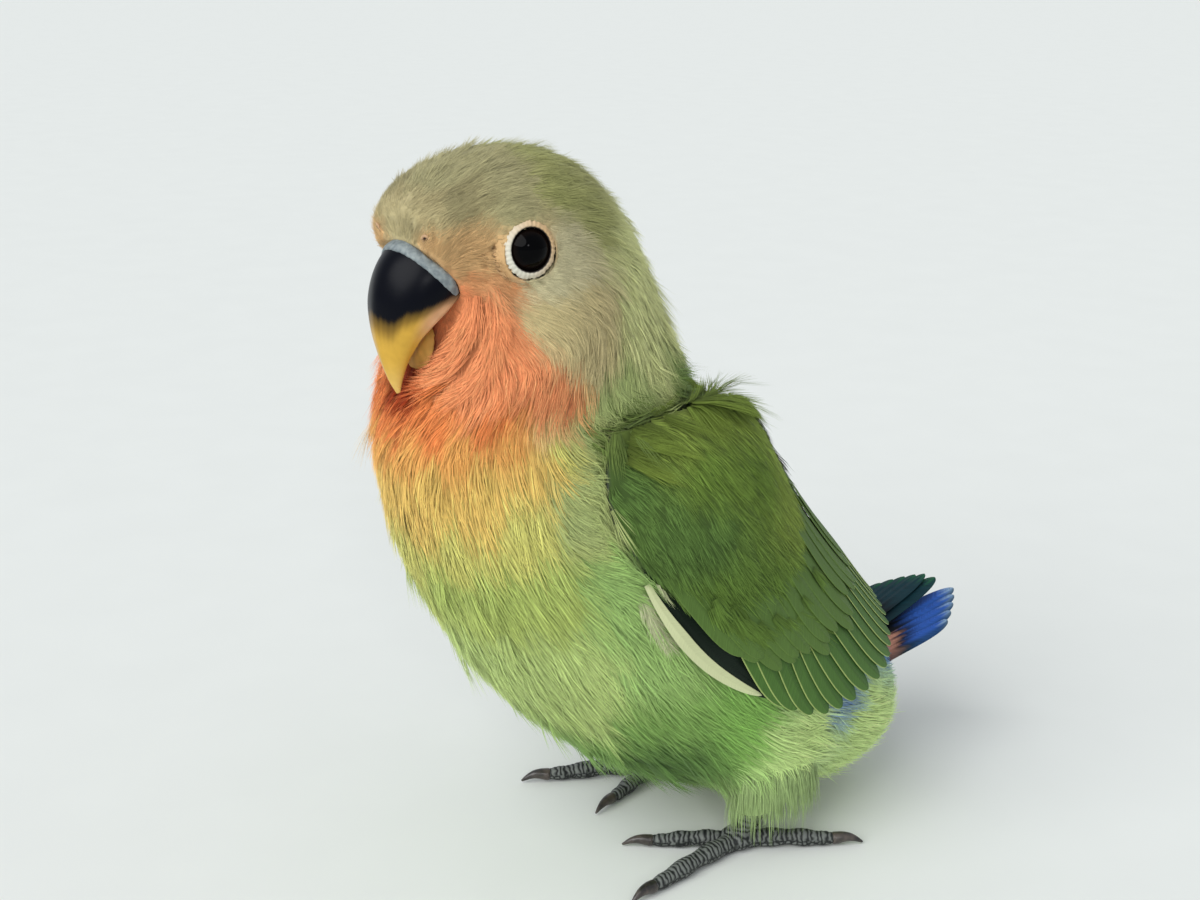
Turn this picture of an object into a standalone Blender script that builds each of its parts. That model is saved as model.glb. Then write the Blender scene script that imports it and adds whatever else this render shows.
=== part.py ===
"""A life-size standing lovebird: it faces -Y, its left side is +X, and +Z is up."""

import math

import bmesh
import bpy
import numpy as np
from mathutils import Matrix, Vector
from mathutils.bvhtree import BVHTree

# Every length below is in millimetres.
MM = 0.001
GAP = 0.34
SHIFT = (0.0, -4.5, 0.0)

# Belly point (y, z), back point (y, z), half width, and how far the greatest
# width sits towards the back, from the tail root up to the forehead.
STATIONS = (
    (37.0, 11.0, 38.0, 22.0, 7.0, 0.0),
    (33.4, 4.4, 33.6, 28.6, 12.2, 0.0),
    (23.5, 2.4, 27.6, 35.6, 16.5, -0.02),
    (8.0, 4.0, 21.7, 43.8, 19.5, -0.04),
    (-7.5, 9.6, 16.3, 51.1, 21.3, -0.04),
    (-20.8, 19.0, 12.0, 58.0, 22.0, -0.03),
    (-30.6, 29.6, 8.7, 63.6, 22.0, 0.0),
    (-37.0, 40.0, 5.6, 67.2, 21.3, 0.0),
    (-41.6, 50.2, 3.3, 70.0, 19.8, 0.0),
    (-43.8, 59.0, 1.0, 73.8, 18.1, 0.0),
    (-43.8, 66.0, -1.8, 78.2, 17.4, -0.02),
    (-41.8, 71.0, -3.8, 83.8, 17.9, -0.16),
    (-38.6, 76.0, -6.4, 90.8, 17.3, -0.24),
    (-37.4, 81.5, -11.4, 97.0, 15.3, -0.14),
    (-38.0, 86.3, -17.2, 101.0, 13.9, -0.08),
    (-39.0, 90.0, -24.0, 102.6, 12.3, 0.0),
    (-40.2, 92.6, -30.5, 101.7, 9.8, 0.0),
    (-40.8, 94.4, -35.8, 99.4, 6.6, 0.0),
    (-40.4, 96.0, -39.4, 97.0, 1.6, 0.0),
)
SEGMENTS = 28
TORSO_RINGS = (0.0, 0.5, 1.0, 1.6, 2.3, 3.0, 3.8, 4.6, 5.4, 6.2, 7.0, 7.8, 8.6, 9.1)
NECK_RINGS = (9.1, 9.7, 10.3, 10.9)
HEAD_RINGS = (10.9, 11.5, 12.1, 12.8, 13.5, 14.2, 14.9, 15.6, 16.3, 17.0, 17.6, 18.0)
HEAD_CENTRE = (-0.5, -26.1, 89.0)
HEAD_YAW = 10.0
YAW_FROM = 10.0
YAW_TO = 13.0

EYE_RADIUS = 3.7
EYE_AT = (4.9, 2.0)
EYE_LIFT = 2.5
EYE_AXIS = (0.34, 0.93, 0.06)
LID_RADIUS = 3.15
LID_THICK = 0.6
LID_FOOT = 4.3
LID_DEEP = 2.6

# Outer edge (forward, up), inner edge (forward, up) and half width in the head.
UPPER_BILL = (
    (11.0, 3.2, 7.0, -4.0, 6.3),
    (14.3, 2.5, 8.6, -5.6, 6.4),
    (16.8, 0.0, 10.2, -7.2, 6.1),
    (18.2, -3.7, 11.6, -8.6, 5.5),
    (18.4, -7.6, 12.8, -10.0, 4.5),
    (17.6, -11.4, 13.6, -11.8, 3.1),
    (16.6, -14.2, 14.6, -13.8, 1.6),
    (15.4, -16.2, 15.1, -15.9, 0.4),
)
LOWER_BILL_CENTRE = (8.6, -10.6)
LOWER_BILL_RADII = (5.6, 5.0, 4.6)

# Place of each foot on the floor and how far it points outward.
LEG = {"left": (12.2, 4.8, 6.0), "right": (-12.5, 6.6, 12.0)}
PALM_RADII = (2.9, 3.4, 1.9)
TARSUS_RADIUS = 1.55
ANKLE = (0.8, 4.2, 10.5)
# Height, place beside the foot (outward, back), and half width and half depth.
THIGH_RINGS = (
    (24.0, 0.6, 1.5, 5.0, 8.0),
    (20.0, 1.2, 2.6, 6.6, 10.0),
    (15.0, 1.6, 4.0, 7.0, 10.4),
    (10.5, 1.5, 4.2, 6.1, 8.6),
    (7.0, 1.1, 3.6, 4.6, 6.2),
    (4.9, 0.8, 2.8, 3.2, 4.2),
    (3.9, 0.7, 2.4, 1.8, 2.4),
)
# Angle outward from straight ahead, length without claw, thickness.
TOES = {
    "outer_front": (8.0, 17.0, 1.4),
    "inner_front": (-36.0, 12.0, 1.25),
    "outer_back": (146.0, 13.5, 1.35),
    "inner_back": (-152.0, 8.5, 1.2),
}
CLAW_LENGTH = 4.6
# Share of its length, rise above the toe's middle, and thickness.
CLAW_SHAPE = (
    (0.0, 0.0, 0.72),
    (0.15, 0.0, 0.74),
    (0.35, 0.16, 0.64),
    (0.57, 0.14, 0.5),
    (0.78, -0.16, 0.33),
    (1.0, -0.66, 0.12),
)

# Places on the body are (station, degrees from the back) in the tables below.
WING_LOW = ((9.1, 78.0), (8.4, 88.0), (7.4, 92.5), (6.4, 93.0), (5.4, 91.0), (4.6, 87.0), (3.9, 80.0), (3.0, 66.0))
WING_HIGH = ((9.0, 52.0), (8.6, 34.0), (7.8, 22.0), (6.7, 16.0), (5.6, 14.0), (4.6, 14.0), (3.8, 17.0), (2.9, 24.0))
WING_RISE = (1.4, 2.6, 3.2, 3.4, 3.2, 2.7, 2.2, 1.6)
WING_EDGE = 1.0
WING_COLUMNS = 12
SECONDARY_TIPS = ((3.92, 95.0), (3.3, 93.0), (2.72, 84.0), (2.12, 69.0), (1.75, 54.0), (1.5, 38.0), (1.6, 25.0))
SECONDARY_MIDS = ((4.8, 89.5), (4.36, 87.0), (3.8, 77.5), (3.17, 66.0), (2.75, 51.0), (2.6, 38.0), (2.8, 26.0))
SECONDARY_COUNT = 10
SECONDARY_WIDE = 2.5
PRIMARY_TIPS = ((2.3, 74.0), (1.75, 69.0), (1.3, 62.0), (1.0, 53.0))
PRIMARY_MIDS = ((4.3, 97.0), (4.2, 92.0), (3.9, 86.0), (3.6, 79.0))
PRIMARY_ROOTS = ((6.8, 95.5), (6.6, 92.0), (6.4, 88.0), (6.2, 84.0))
PRIMARY_WIDE = 2.3
PRIMARY_LIFT = 1.15
COVERT_TIPS = ((5.0, 91.0), (4.3, 86.5), (3.7, 76.0), (3.1, 64.0), (2.75, 50.0), (2.6, 36.0))
COVERT_COUNT = 9
COVERT_LONG = 2.1
COVERT_WIDE = 2.6
VANE_THICK = 0.75
# Root station and degrees, tip station and degrees, and how far the tip stands off.
RUFFLED = ((8.0, 20.0, 5.8, 12.0, 5.0), (7.7, 30.0, 5.6, 22.0, 4.2))

TAIL_ROOT = (0.0, 28.0, 19.8)
TAIL_RISE = 17.0
TAIL_LONG = 26.5
TAIL_SPREAD = 0.8
TAIL_STEP = 1.5
TAIL_WIDE = 2.5
TAIL_COUNT = 10

# The first word found in a node's name gives its colour and roughness.
COLOURS = (
    ("claw", (0.03, 0.03, 0.035), 0.4),
    ("eye", (0.01, 0.01, 0.012), 0.08),
    ("cere", (0.33, 0.38, 0.37), 0.6),
    ("upper_bill", (0.3, 0.2, 0.06), 0.3),
    ("lower_bill", (0.45, 0.27, 0.06), 0.4),
    ("wing", (0.06, 0.15, 0.03), 0.7),
    ("tail", (0.04, 0.12, 0.28), 0.7),
    ("head", (0.3, 0.28, 0.15), 0.8),
    ("neck", (0.5, 0.3, 0.13), 0.8),
    ("torso", (0.25, 0.38, 0.12), 0.8),
    ("thigh", (0.2, 0.36, 0.1), 0.8),
    ("", (0.12, 0.13, 0.12), 0.6),
)


def clear_scene():
    for obj in list(bpy.data.objects):
        bpy.data.objects.remove(obj, do_unlink=True)


def new_collection(name):
    collection = bpy.data.collections.new(name)
    bpy.context.scene.collection.children.link(collection)
    return collection


def material(name, colour, rough):
    made = bpy.data.materials.new(name)
    made.use_nodes = True
    shader = made.node_tree.nodes["Principled BSDF"]
    shader.inputs["Base Color"].default_value = (*colour, 1.0)
    shader.inputs["Roughness"].default_value = rough
    made.diffuse_color = (*colour, 1.0)
    return made


def mesh_object(name, points, faces, collection):
    """A closed mesh object from points in millimetres, its normals outward."""
    mesh = bpy.data.meshes.new(name)
    mesh.from_pydata([tuple(MM * np.asarray(p, float)) for p in points], [], faces)
    work = bmesh.new()
    work.from_mesh(mesh)
    bmesh.ops.recalc_face_normals(work, faces=work.faces)
    if work.calc_volume(signed=True) < 0:
        bmesh.ops.reverse_faces(work, faces=work.faces)
    work.to_mesh(mesh)
    work.free()
    obj = bpy.data.objects.new(name, mesh)
    collection.objects.link(obj)
    return obj


def loft(name, rings, collection):
    """Joins rings of one point count and closes both ends."""
    count = len(rings[0])
    points = [p for ring in rings for p in ring]
    faces = []
    for row in range(len(rings) - 1):
        for step in range(count):
            ahead = (step + 1) % count
            low = row * count
            faces.append((low + step, low + ahead, low + count + ahead, low + count + step))
    faces.append(tuple(range(count)))
    faces.append(tuple(range(len(points) - count, len(points))))
    return mesh_object(name, points, faces, collection)


def spline(values, at):
    """A smooth value of a row of numbers at a fractional index."""
    last = len(values) - 1
    at = min(max(at, 0.0), float(last))
    low = min(int(at), last - 1)
    f = at - low
    p0 = values[max(low - 1, 0)]
    p1 = values[low]
    p2 = values[low + 1]
    p3 = values[min(low + 2, last)]
    a = 2 * p1
    b = p2 - p0
    c = 2 * p0 - 5 * p1 + 4 * p2 - p3
    d = 3 * p1 - 3 * p2 + p3 - p0
    return 0.5 * (a + b * f + c * f * f + d * f * f * f)


def turned_head(point, at):
    """Turns a point about the upright line through the head as the neck does."""
    share = min(max((at - YAW_FROM) / (YAW_TO - YAW_FROM), 0.0), 1.0)
    angle = math.radians(HEAD_YAW) * share
    x = point[0]
    y = point[1] - HEAD_CENTRE[1]
    c = math.cos(angle)
    s = math.sin(angle)
    return np.array((c * x - s * y + HEAD_CENTRE[0] * share, s * x + c * y + HEAD_CENTRE[1], point[2]))


def body_point(at, degrees):
    """A point of the body; 0 degrees is the back, 90 the left side, 180 the belly."""
    columns = list(zip(*STATIONS))
    vy, vz, dy, dz, wide, lean = (spline(column, at) for column in columns)
    angle = math.radians(degrees)
    along = math.cos(angle)
    across = math.sin(angle) * wide * (1 + lean * along)
    y = (vy + dy) / 2 + along * (dy - vy) / 2
    z = (vz + dz) / 2 + along * (dz - vz) / 2
    return turned_head((across, y, z), at)


def body_normal(at, degrees):
    along = body_point(at + 0.05, degrees) - body_point(at - 0.05, degrees)
    around = body_point(at, degrees + 2) - body_point(at, degrees - 2)
    normal = np.cross(along, around)
    return normal / np.linalg.norm(normal)


def on_body(at, degrees, lift):
    return body_point(at, degrees) + lift * body_normal(at, degrees)


def body_ring(at):
    return [body_point(at, 360 * step / SEGMENTS) for step in range(SEGMENTS)]


def ring_normal(ring):
    a, b, c = (np.asarray(ring[k]) for k in (0, SEGMENTS // 3, 2 * SEGMENTS // 3))
    normal = np.cross(b - a, c - a)
    return normal / np.linalg.norm(normal)


def parted(rings):
    """Moves the first ring on by the gap, so that two lofts don't touch."""
    first = rings[0]
    middle = np.mean(rings[0], axis=0)
    onward = np.mean(rings[1], axis=0) - middle
    normal = ring_normal(first)
    if normal @ onward < 0:
        normal = -normal
    rings[0] = [p + GAP * normal for p in first]
    return rings


def inflated(obj, by, name, collection):
    """A copy of a solid with its surface moved outward."""
    mesh = obj.data.copy()
    work = bmesh.new()
    work.from_mesh(mesh)
    bmesh.ops.triangulate(work, faces=work.faces)
    work.normal_update()
    moves = [v.normal * (by * MM * v.calc_shell_factor()) for v in work.verts]
    for vertex, move in zip(work.verts, moves):
        vertex.co += move
    work.to_mesh(mesh)
    work.free()
    copy = bpy.data.objects.new(name, mesh)
    collection.objects.link(copy)
    return copy


def boolean(obj, others, operation):
    """Applies one exact Boolean with closed meshes, which are then removed."""
    pieces = bpy.data.collections.new("pieces")
    bpy.context.scene.collection.children.link(pieces)
    for other in others:
        for holder in list(other.users_collection):
            holder.objects.unlink(other)
        pieces.objects.link(other)
    step = obj.modifiers.new("join", "BOOLEAN")
    step.operation = operation
    step.operand_type = "COLLECTION"
    step.collection = pieces
    step.solver = "EXACT"
    bpy.context.view_layer.update()
    graph = bpy.context.evaluated_depsgraph_get()
    mesh = bpy.data.meshes.new_from_object(obj.evaluated_get(graph))
    obj.modifiers.clear()
    obj.data = mesh
    for other in others:
        bpy.data.objects.remove(other, do_unlink=True)
    bpy.data.collections.remove(pieces)
    keep_largest(obj)
    return obj


def islands(work):
    left = set(work.faces)
    found = []
    while left:
        start = left.pop()
        group = {start}
        queue = [start]
        while queue:
            face = queue.pop()
            for edge in face.edges:
                for near in edge.link_faces:
                    if near in left:
                        left.discard(near)
                        group.add(near)
                        queue.append(near)
        found.append(group)
    return found


def face_volume(group):
    total = 0.0
    for face in group:
        corners = [v.co for v in face.verts]
        for k in range(1, len(corners) - 1):
            total += corners[0].dot(corners[k].cross(corners[k + 1]))
    return abs(total)


def keep_largest(obj):
    """Triangulates a solid and keeps only its largest closed surface."""
    work = bmesh.new()
    work.from_mesh(obj.data)
    bmesh.ops.remove_doubles(work, verts=work.verts, dist=0.000002)
    bmesh.ops.triangulate(work, faces=work.faces)
    groups = islands(work)
    best = max(groups, key=face_volume)
    spare = [face for group in groups if group is not best for face in group]
    if spare:
        bmesh.ops.delete(work, geom=spare, context="FACES")
    loose = [v for v in work.verts if not v.link_faces]
    if loose:
        bmesh.ops.delete(work, geom=loose, context="VERTS")
    bmesh.ops.recalc_face_normals(work, faces=work.faces)
    work.to_mesh(obj.data)
    work.free()


def tube(name, points, radii, collection, sides=8, closed=False):
    """A bevelled curve with its own radius at each point, as a closed mesh."""
    curve = bpy.data.curves.new(name, "CURVE")
    curve.dimensions = "3D"
    curve.bevel_depth = MM
    curve.bevel_resolution = sides // 2 - 2
    curve.use_fill_caps = not closed
    line = curve.splines.new("POLY")
    line.points.add(len(points) - 1)
    for knot, point, radius in zip(line.points, points, radii):
        knot.co = (*(MM * np.asarray(point, float)), 1.0)
        knot.radius = radius
    line.use_cyclic_u = closed
    guide = bpy.data.objects.new(name, curve)
    collection.objects.link(guide)
    bpy.context.view_layer.update()
    graph = bpy.context.evaluated_depsgraph_get()
    mesh = bpy.data.meshes.new_from_object(guide.evaluated_get(graph))
    bpy.data.objects.remove(guide, do_unlink=True)
    work = bmesh.new()
    work.from_mesh(mesh)
    bmesh.ops.remove_doubles(work, verts=work.verts, dist=0.00001)
    bmesh.ops.recalc_face_normals(work, faces=work.faces)
    work.to_mesh(mesh)
    work.free()
    obj = bpy.data.objects.new(name, mesh)
    collection.objects.link(obj)
    return obj


def ball(name, centre, radii, collection, rows=10, sides=16):
    mesh = bpy.data.meshes.new(name)
    work = bmesh.new()
    bmesh.ops.create_uvsphere(work, u_segments=sides, v_segments=rows, radius=1.0)
    shape = Matrix.Diagonal((*(MM * r for r in radii), 1.0))
    bmesh.ops.transform(work, matrix=shape, verts=work.verts)
    move = Vector([MM * c for c in centre])
    bmesh.ops.translate(work, vec=move, verts=work.verts)
    work.to_mesh(mesh)
    work.free()
    obj = bpy.data.objects.new(name, mesh)
    collection.objects.link(obj)
    return obj


def slab(name, low, high, collection):
    mesh = bpy.data.meshes.new(name)
    work = bmesh.new()
    bmesh.ops.create_cube(work, size=1.0)
    size = [MM * (h - l) for l, h in zip(low, high)]
    middle = Vector([MM * (h + l) / 2 for l, h in zip(low, high)])
    bmesh.ops.transform(work, matrix=Matrix.Diagonal((*size, 1.0)), verts=work.verts)
    bmesh.ops.translate(work, vec=middle, verts=work.verts)
    work.to_mesh(mesh)
    work.free()
    obj = bpy.data.objects.new(name, mesh)
    collection.objects.link(obj)
    return obj


def in_head(forward, left, up):
    """Turns a place in the head (forward, left, up of its centre) into the model."""
    yaw = math.radians(HEAD_YAW)
    ahead = np.array((math.sin(yaw), -math.cos(yaw), 0.0))
    side = np.array((math.cos(yaw), math.sin(yaw), 0.0))
    high = np.array((0.0, 0.0, 1.0))
    return np.array(HEAD_CENTRE) + forward * ahead + left * side + up * high


def eye_place(head, side):
    """The centre and outward axis of one eye, from the head's own surface."""
    tree = BVHTree.FromObject(head, bpy.context.evaluated_depsgraph_get())
    start = Vector(MM * in_head(EYE_AT[0], 0.0, EYE_AT[1]))
    out = Vector(in_head(0.0, side, 0.0) - np.array(HEAD_CENTRE))
    hit = tree.ray_cast(start, out.normalized())[0]
    axis = np.array(in_head(EYE_AXIS[0], side * EYE_AXIS[1], EYE_AXIS[2])) - np.array(HEAD_CENTRE)
    axis = axis / np.linalg.norm(axis)
    return np.array(hit) / MM - EYE_LIFT * axis, axis


def circle_at(centre, axis, radius, count):
    """Points of a circle around an axis, in millimetres."""
    side = np.cross(axis, (0.0, 0.0, 1.0))
    side = side / np.linalg.norm(side)
    high = np.cross(side, axis)
    turns = [2 * math.pi * k / count for k in range(count)]
    return [centre + radius * (math.cos(t) * side + math.sin(t) * high) for t in turns]


def build_flesh(model):
    torso = loft("torso", [body_ring(at) for at in TORSO_RINGS], model)
    neck = loft("neck", parted([body_ring(at) for at in NECK_RINGS]), model)
    head = loft("head", parted([body_ring(at) for at in HEAD_RINGS]), model)
    return torso, neck, head


def build_eyes(head, model, cutters):
    eyes = []
    lids = []
    sockets = []
    for name, side in (("left_eye", 1.0), ("right_eye", -1.0)):
        centre, axis = eye_place(head, side)
        eyes.append(ball(name, centre, (EYE_RADIUS,) * 3, model, 10, 16))
        sockets.append(ball(name + "_socket", centre, (EYE_RADIUS + GAP + 0.06,) * 3, cutters, 10, 16))
        rim = circle_at(centre + (EYE_LIFT + 0.1) * axis, axis, LID_RADIUS, 16)
        lids.append(tube(name + "_lid", rim, [LID_THICK] * 16, cutters, 6, True))
        foot = centre + (EYE_LIFT + 0.1 - LID_DEEP) * axis
        collar = [foot, centre + (EYE_LIFT + 0.1) * axis]
        lids.append(tube(name + "_collar", collar, [LID_FOOT, LID_RADIUS], cutters, 16))
    boolean(head, lids, "UNION")
    boolean(head, sockets, "DIFFERENCE")
    return eyes


def bill_ring(row, count):
    """One cross-section of the upper bill, flatter on its inner side."""
    fo, uo, fi, ui, wide = row
    ring = []
    for step in range(count):
        angle = 2 * math.pi * step / count
        along = math.cos(angle)
        share = 0.5 + 0.5 * along if along > 0 else 0.5 + 0.5 * along * 0.9
        forward = fi + (fo - fi) * share
        up = ui + (uo - ui) * share
        left = wide * math.sin(angle) * (1.0 - 0.15 * along)
        ring.append(in_head(forward, left, up))
    return ring


def build_bill(head, model, cutters):
    upper = loft("upper_bill", [bill_ring(row, 16) for row in UPPER_BILL], model)
    boolean(upper, [inflated(head, GAP, "head_space", cutters)], "DIFFERENCE")
    place = in_head(LOWER_BILL_CENTRE[0], 0.0, LOWER_BILL_CENTRE[1])
    lower = ball("lower_bill", place, LOWER_BILL_RADII, model, 10, 16)
    spaces = [
        inflated(head, GAP, "head_space", cutters),
        inflated(upper, GAP, "bill_space", cutters),
    ]
    boolean(lower, spaces, "DIFFERENCE")
    arch = []
    for k in range(9):
        t = math.radians(-100 + 25 * k)
        arch.append(in_head(12.4 + 1.4 * math.cos(t), 6.6 * math.sin(t), -0.5 + 4.2 * math.cos(t)))
    cere = tube("cere", arch, [0.6, 1.0, 1.3, 1.4, 1.4, 1.4, 1.3, 1.0, 0.6], model, 8)
    spaces = [
        inflated(head, GAP, "head_space", cutters),
        inflated(upper, GAP, "bill_space", cutters),
    ]
    boolean(cere, spaces, "DIFFERENCE")
    return upper, lower, cere


def vane(name, points, normals, widths, thick, roll, collection):
    """A closed feather blade along a line, thin at its edges and at its tip."""
    rings = []
    last = len(points) - 1
    for k, (point, normal, wide) in enumerate(zip(points, normals, widths)):
        ahead = points[min(k + 1, last)] - points[max(k - 1, 0)]
        side = np.cross(ahead, normal)
        side = side / np.linalg.norm(side)
        deep = thick * (0.5 if k < last else 0.22)
        fall = 0.03 * wide * wide
        left = point - wide * side + (roll - fall) * normal
        right = point + wide * side - (roll + fall) * normal
        rings.append([left, point + deep * normal, right, point - deep * normal])
    return loft(name, rings, collection)


def along_row(row, share):
    """A place on the body, part of the way along a row of places."""
    at = share * (len(row) - 1)
    return np.array([spline([place[k] for place in row], at) for k in (0, 1)])


def body_vane(name, root, middle, tip, lifts, wide, roll, collection):
    """A blade over the body from root to tip through a middle place."""
    points = []
    normals = []
    widths = []
    shape = (0.5, 0.8, 1.0, 1.0, 0.86, 0.3)
    for k, width in enumerate(shape):
        f = k / (len(shape) - 1)
        place = (1 - f) ** 2 * root + 2 * f * (1 - f) * middle + f * f * tip
        lift = (1 - f) * lifts[0] + f * lifts[1]
        points.append(on_body(place[0], place[1], lift))
        normals.append(body_normal(place[0], place[1]))
        widths.append(wide * width)
    return vane(name, points, normals, widths, VANE_THICK, roll, collection)


def wing_core(collection):
    """The wing's smooth upper part, from its lower edge to its upper one."""
    top = []
    bottom = []
    rows = (0.0, 0.07, 0.22, 0.4, 0.6, 0.78, 0.93, 1.0)
    for column in range(WING_COLUMNS):
        along = column / (WING_COLUMNS - 1)
        low = along_row(WING_LOW, along)
        high = along_row(WING_HIGH, along)
        rise = spline(WING_RISE, along * (len(WING_RISE) - 1))
        upper = []
        under = []
        for share in rows:
            place = (1 - share) * low + share * high
            swell = max(math.sin(math.pi * share), 0.0) ** 0.35
            upper.append(on_body(place[0], place[1], WING_EDGE + (rise - WING_EDGE) * swell))
            under.append(on_body(place[0], place[1], -1.2))
        top.append(upper)
        bottom.append(under[::-1])
    return loft("wing_core", [a + b for a, b in zip(top, bottom)], collection)


def build_wings(torso, model, cutters):
    wing = wing_core(model)
    wing.name = "left_wing"
    pieces = []
    for k in range(SECONDARY_COUNT):
        share = k / (SECONDARY_COUNT - 1)
        tip = along_row(SECONDARY_TIPS, share)
        middle = along_row(SECONDARY_MIDS, share)
        root = middle + 1.2 * (middle - tip)
        lifts = (1.5, 1.5 + 0.4 * share)
        pieces.append(body_vane("secondary", root, middle, tip, lifts, SECONDARY_WIDE, -0.3, cutters))
    for k in range(len(PRIMARY_TIPS)):
        root = np.array(PRIMARY_ROOTS[k])
        middle = np.array(PRIMARY_MIDS[k])
        tip = np.array(PRIMARY_TIPS[k])
        lifts = (PRIMARY_LIFT + 0.1 * k, PRIMARY_LIFT + 0.25 * k)
        pieces.append(body_vane("primary", root, middle, tip, lifts, PRIMARY_WIDE, -0.15, cutters))
    for k in range(COVERT_COUNT):
        share = k / (COVERT_COUNT - 1)
        tip = along_row(COVERT_TIPS, share)
        middle = tip + np.array((COVERT_LONG / 2, 4.0 + 3.0 * share))
        root = tip + np.array((COVERT_LONG, 6.0 + 6.0 * share))
        pieces.append(body_vane("covert", root, middle, tip, (1.5, 2.1), COVERT_WIDE, -0.25, cutters))
    for root_at, root_turn, tip_at, tip_turn, stand in RUFFLED:
        root = np.array((root_at, root_turn))
        tip = np.array((tip_at, tip_turn))
        middle = (root + tip) / 2
        pieces.append(body_vane("ruffled", root, middle, tip, (1.2, stand), 2.6, -0.2, cutters))
    boolean(wing, pieces, "UNION")
    boolean(wing, [inflated(torso, GAP, "torso_space", cutters)], "DIFFERENCE")
    mesh = wing.data.copy()
    work = bmesh.new()
    work.from_mesh(mesh)
    bmesh.ops.scale(work, vec=Vector((-1.0, 1.0, 1.0)), verts=work.verts)
    bmesh.ops.reverse_faces(work, faces=work.faces)
    work.to_mesh(mesh)
    work.free()
    right = bpy.data.objects.new("right_wing", mesh)
    model.objects.link(right)
    return wing, right


def build_tail(torso, model, cutters):
    """A short fan of blades, the middle pair on top, on a low raised root."""
    lean = math.radians(TAIL_RISE)
    back = np.array((0.0, math.cos(lean), math.sin(lean)))
    high = np.array((0.0, -math.sin(lean), math.cos(lean)))
    side = np.array((1.0, 0.0, 0.0))
    start = np.array(TAIL_ROOT)
    rings = []
    for out, wide, deep in ((0.0, 8.0, 3.6), (6.0, 8.4, 3.4), (11.0, 7.6, 2.4), (15.0, 5.5, 1.0)):
        middle = start + out * back - 0.9 * high
        turns = [2 * math.pi * k / 14 for k in range(14)]
        rings.append([middle + wide * math.cos(t) * side + deep * math.sin(t) * high for t in turns])
    tail = loft("tail", rings, model)
    pieces = []
    for k in range(TAIL_COUNT):
        place = k - (TAIL_COUNT - 1) / 2
        sign = 1.0 if place > 0 else -1.0
        turn = math.radians(TAIL_SPREAD * place)
        ahead = math.cos(turn) * back + math.sin(turn) * side
        root = start + TAIL_STEP * place * side - 0.28 * abs(place) * high
        long = TAIL_LONG - 0.55 * abs(place) ** 1.5
        points = []
        widths = []
        for f, width in ((0.0, 0.5), (0.25, 0.8), (0.5, 1.0), (0.75, 1.0), (0.92, 0.75), (1.0, 0.25)):
            points.append(root + f * long * ahead)
            widths.append(TAIL_WIDE * width)
        pieces.append(vane("rectrix", points, [high] * 6, widths, VANE_THICK, -0.28 * sign, cutters))
    boolean(tail, pieces, "UNION")
    boolean(tail, [inflated(torso, GAP, "torso_space", cutters)], "DIFFERENCE")
    return tail


def build_leg(side, torso, model, cutters):
    sign = 1.0 if side == "left" else -1.0
    x, y, turn = LEG[side]
    rings = []
    for height, out, back, wide, deep in THIGH_RINGS:
        turns = [2 * math.pi * k / 18 for k in range(18)]
        place = np.array((x + sign * out, y + back, height))
        rings.append([place + np.array((wide * math.cos(t), deep * math.sin(t), 0)) for t in turns])
    thigh = loft(side + "_thigh", rings, model)
    boolean(thigh, [inflated(torso, GAP, "torso_space", cutters)], "DIFFERENCE")
    palm_z = PALM_RADII[2] * 0.86
    top = (x + sign * ANKLE[0], y + ANKLE[1], ANKLE[2])
    shaft = [(x, y, palm_z), (x, y + 0.4, 4.0), top]
    tarsus = tube(side + "_tarsus", shaft, [1.9, TARSUS_RADIUS, TARSUS_RADIUS], model, 10)
    palm = ball("palm", (x, y, palm_z), PALM_RADII, cutters, 8, 14)
    boolean(tarsus, [palm], "UNION")
    spaces = [
        inflated(thigh, GAP, "thigh_space", cutters),
        inflated(torso, GAP, "torso_space", cutters),
        slab("floor_space", (-80, -80, -10), (80, 80, 0), cutters),
    ]
    boolean(tarsus, spaces, "DIFFERENCE")
    for toe, (angle, length, thick) in TOES.items():
        build_toe(side + "_" + toe, (x, y), sign, angle + turn, length, thick, model, cutters)
    return thigh, tarsus


def build_toe(name, joint, sign, angle, length, thick, model, cutters):
    """A toe with its flat on the floor, and its claw a gap beyond it."""
    bend = math.radians(angle)
    ahead = np.array((sign * math.sin(bend), -math.cos(bend), 0.0))
    start = np.array((joint[0], joint[1], 0.0)) + (max(PALM_RADII) + 0.55) * ahead
    rise = 0.86 * thick
    steps = np.linspace(0.0, 1.0, 7)
    reach = length - 4.05
    swell = (0.0, 0.12, -0.04, 0.1, -0.04, 0.08, -0.12)
    points = []
    radii = []
    for share, more in zip(steps, swell):
        arch = 0.3 * math.sin(math.pi * min(1.2 * share, 1.0))
        points.append(start + share * reach * ahead + np.array((0, 0, rise + arch)))
        radii.append(thick * (1.0 - 0.18 * share) + more)
    toe = tube(name, points, radii, model, 10)
    boolean(toe, [slab("floor_space", (-80, -80, -10), (80, 80, 0), cutters)], "DIFFERENCE")
    claw = []
    size = []
    for share, lift, wide in CLAW_SHAPE:
        out = GAP + CLAW_LENGTH * share
        claw.append(points[-1] + out * ahead + np.array((0, 0, lift * rise)))
        size.append(wide * thick)
    tube(name + "_claw", claw, size, model, 8)


def settle(model):
    """Puts the middle of the model's box over the origin, its feet at height 0."""
    move = Vector([MM * step for step in SHIFT])
    for obj in model.objects:
        obj.data.transform(Matrix.Translation(move))


def paint(model):
    for obj in model.objects:
        for word, colour, rough in COLOURS:
            if word in obj.name:
                obj.data.materials.clear()
                obj.data.materials.append(material(obj.name + "_paint", colour, rough))
                break


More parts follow.
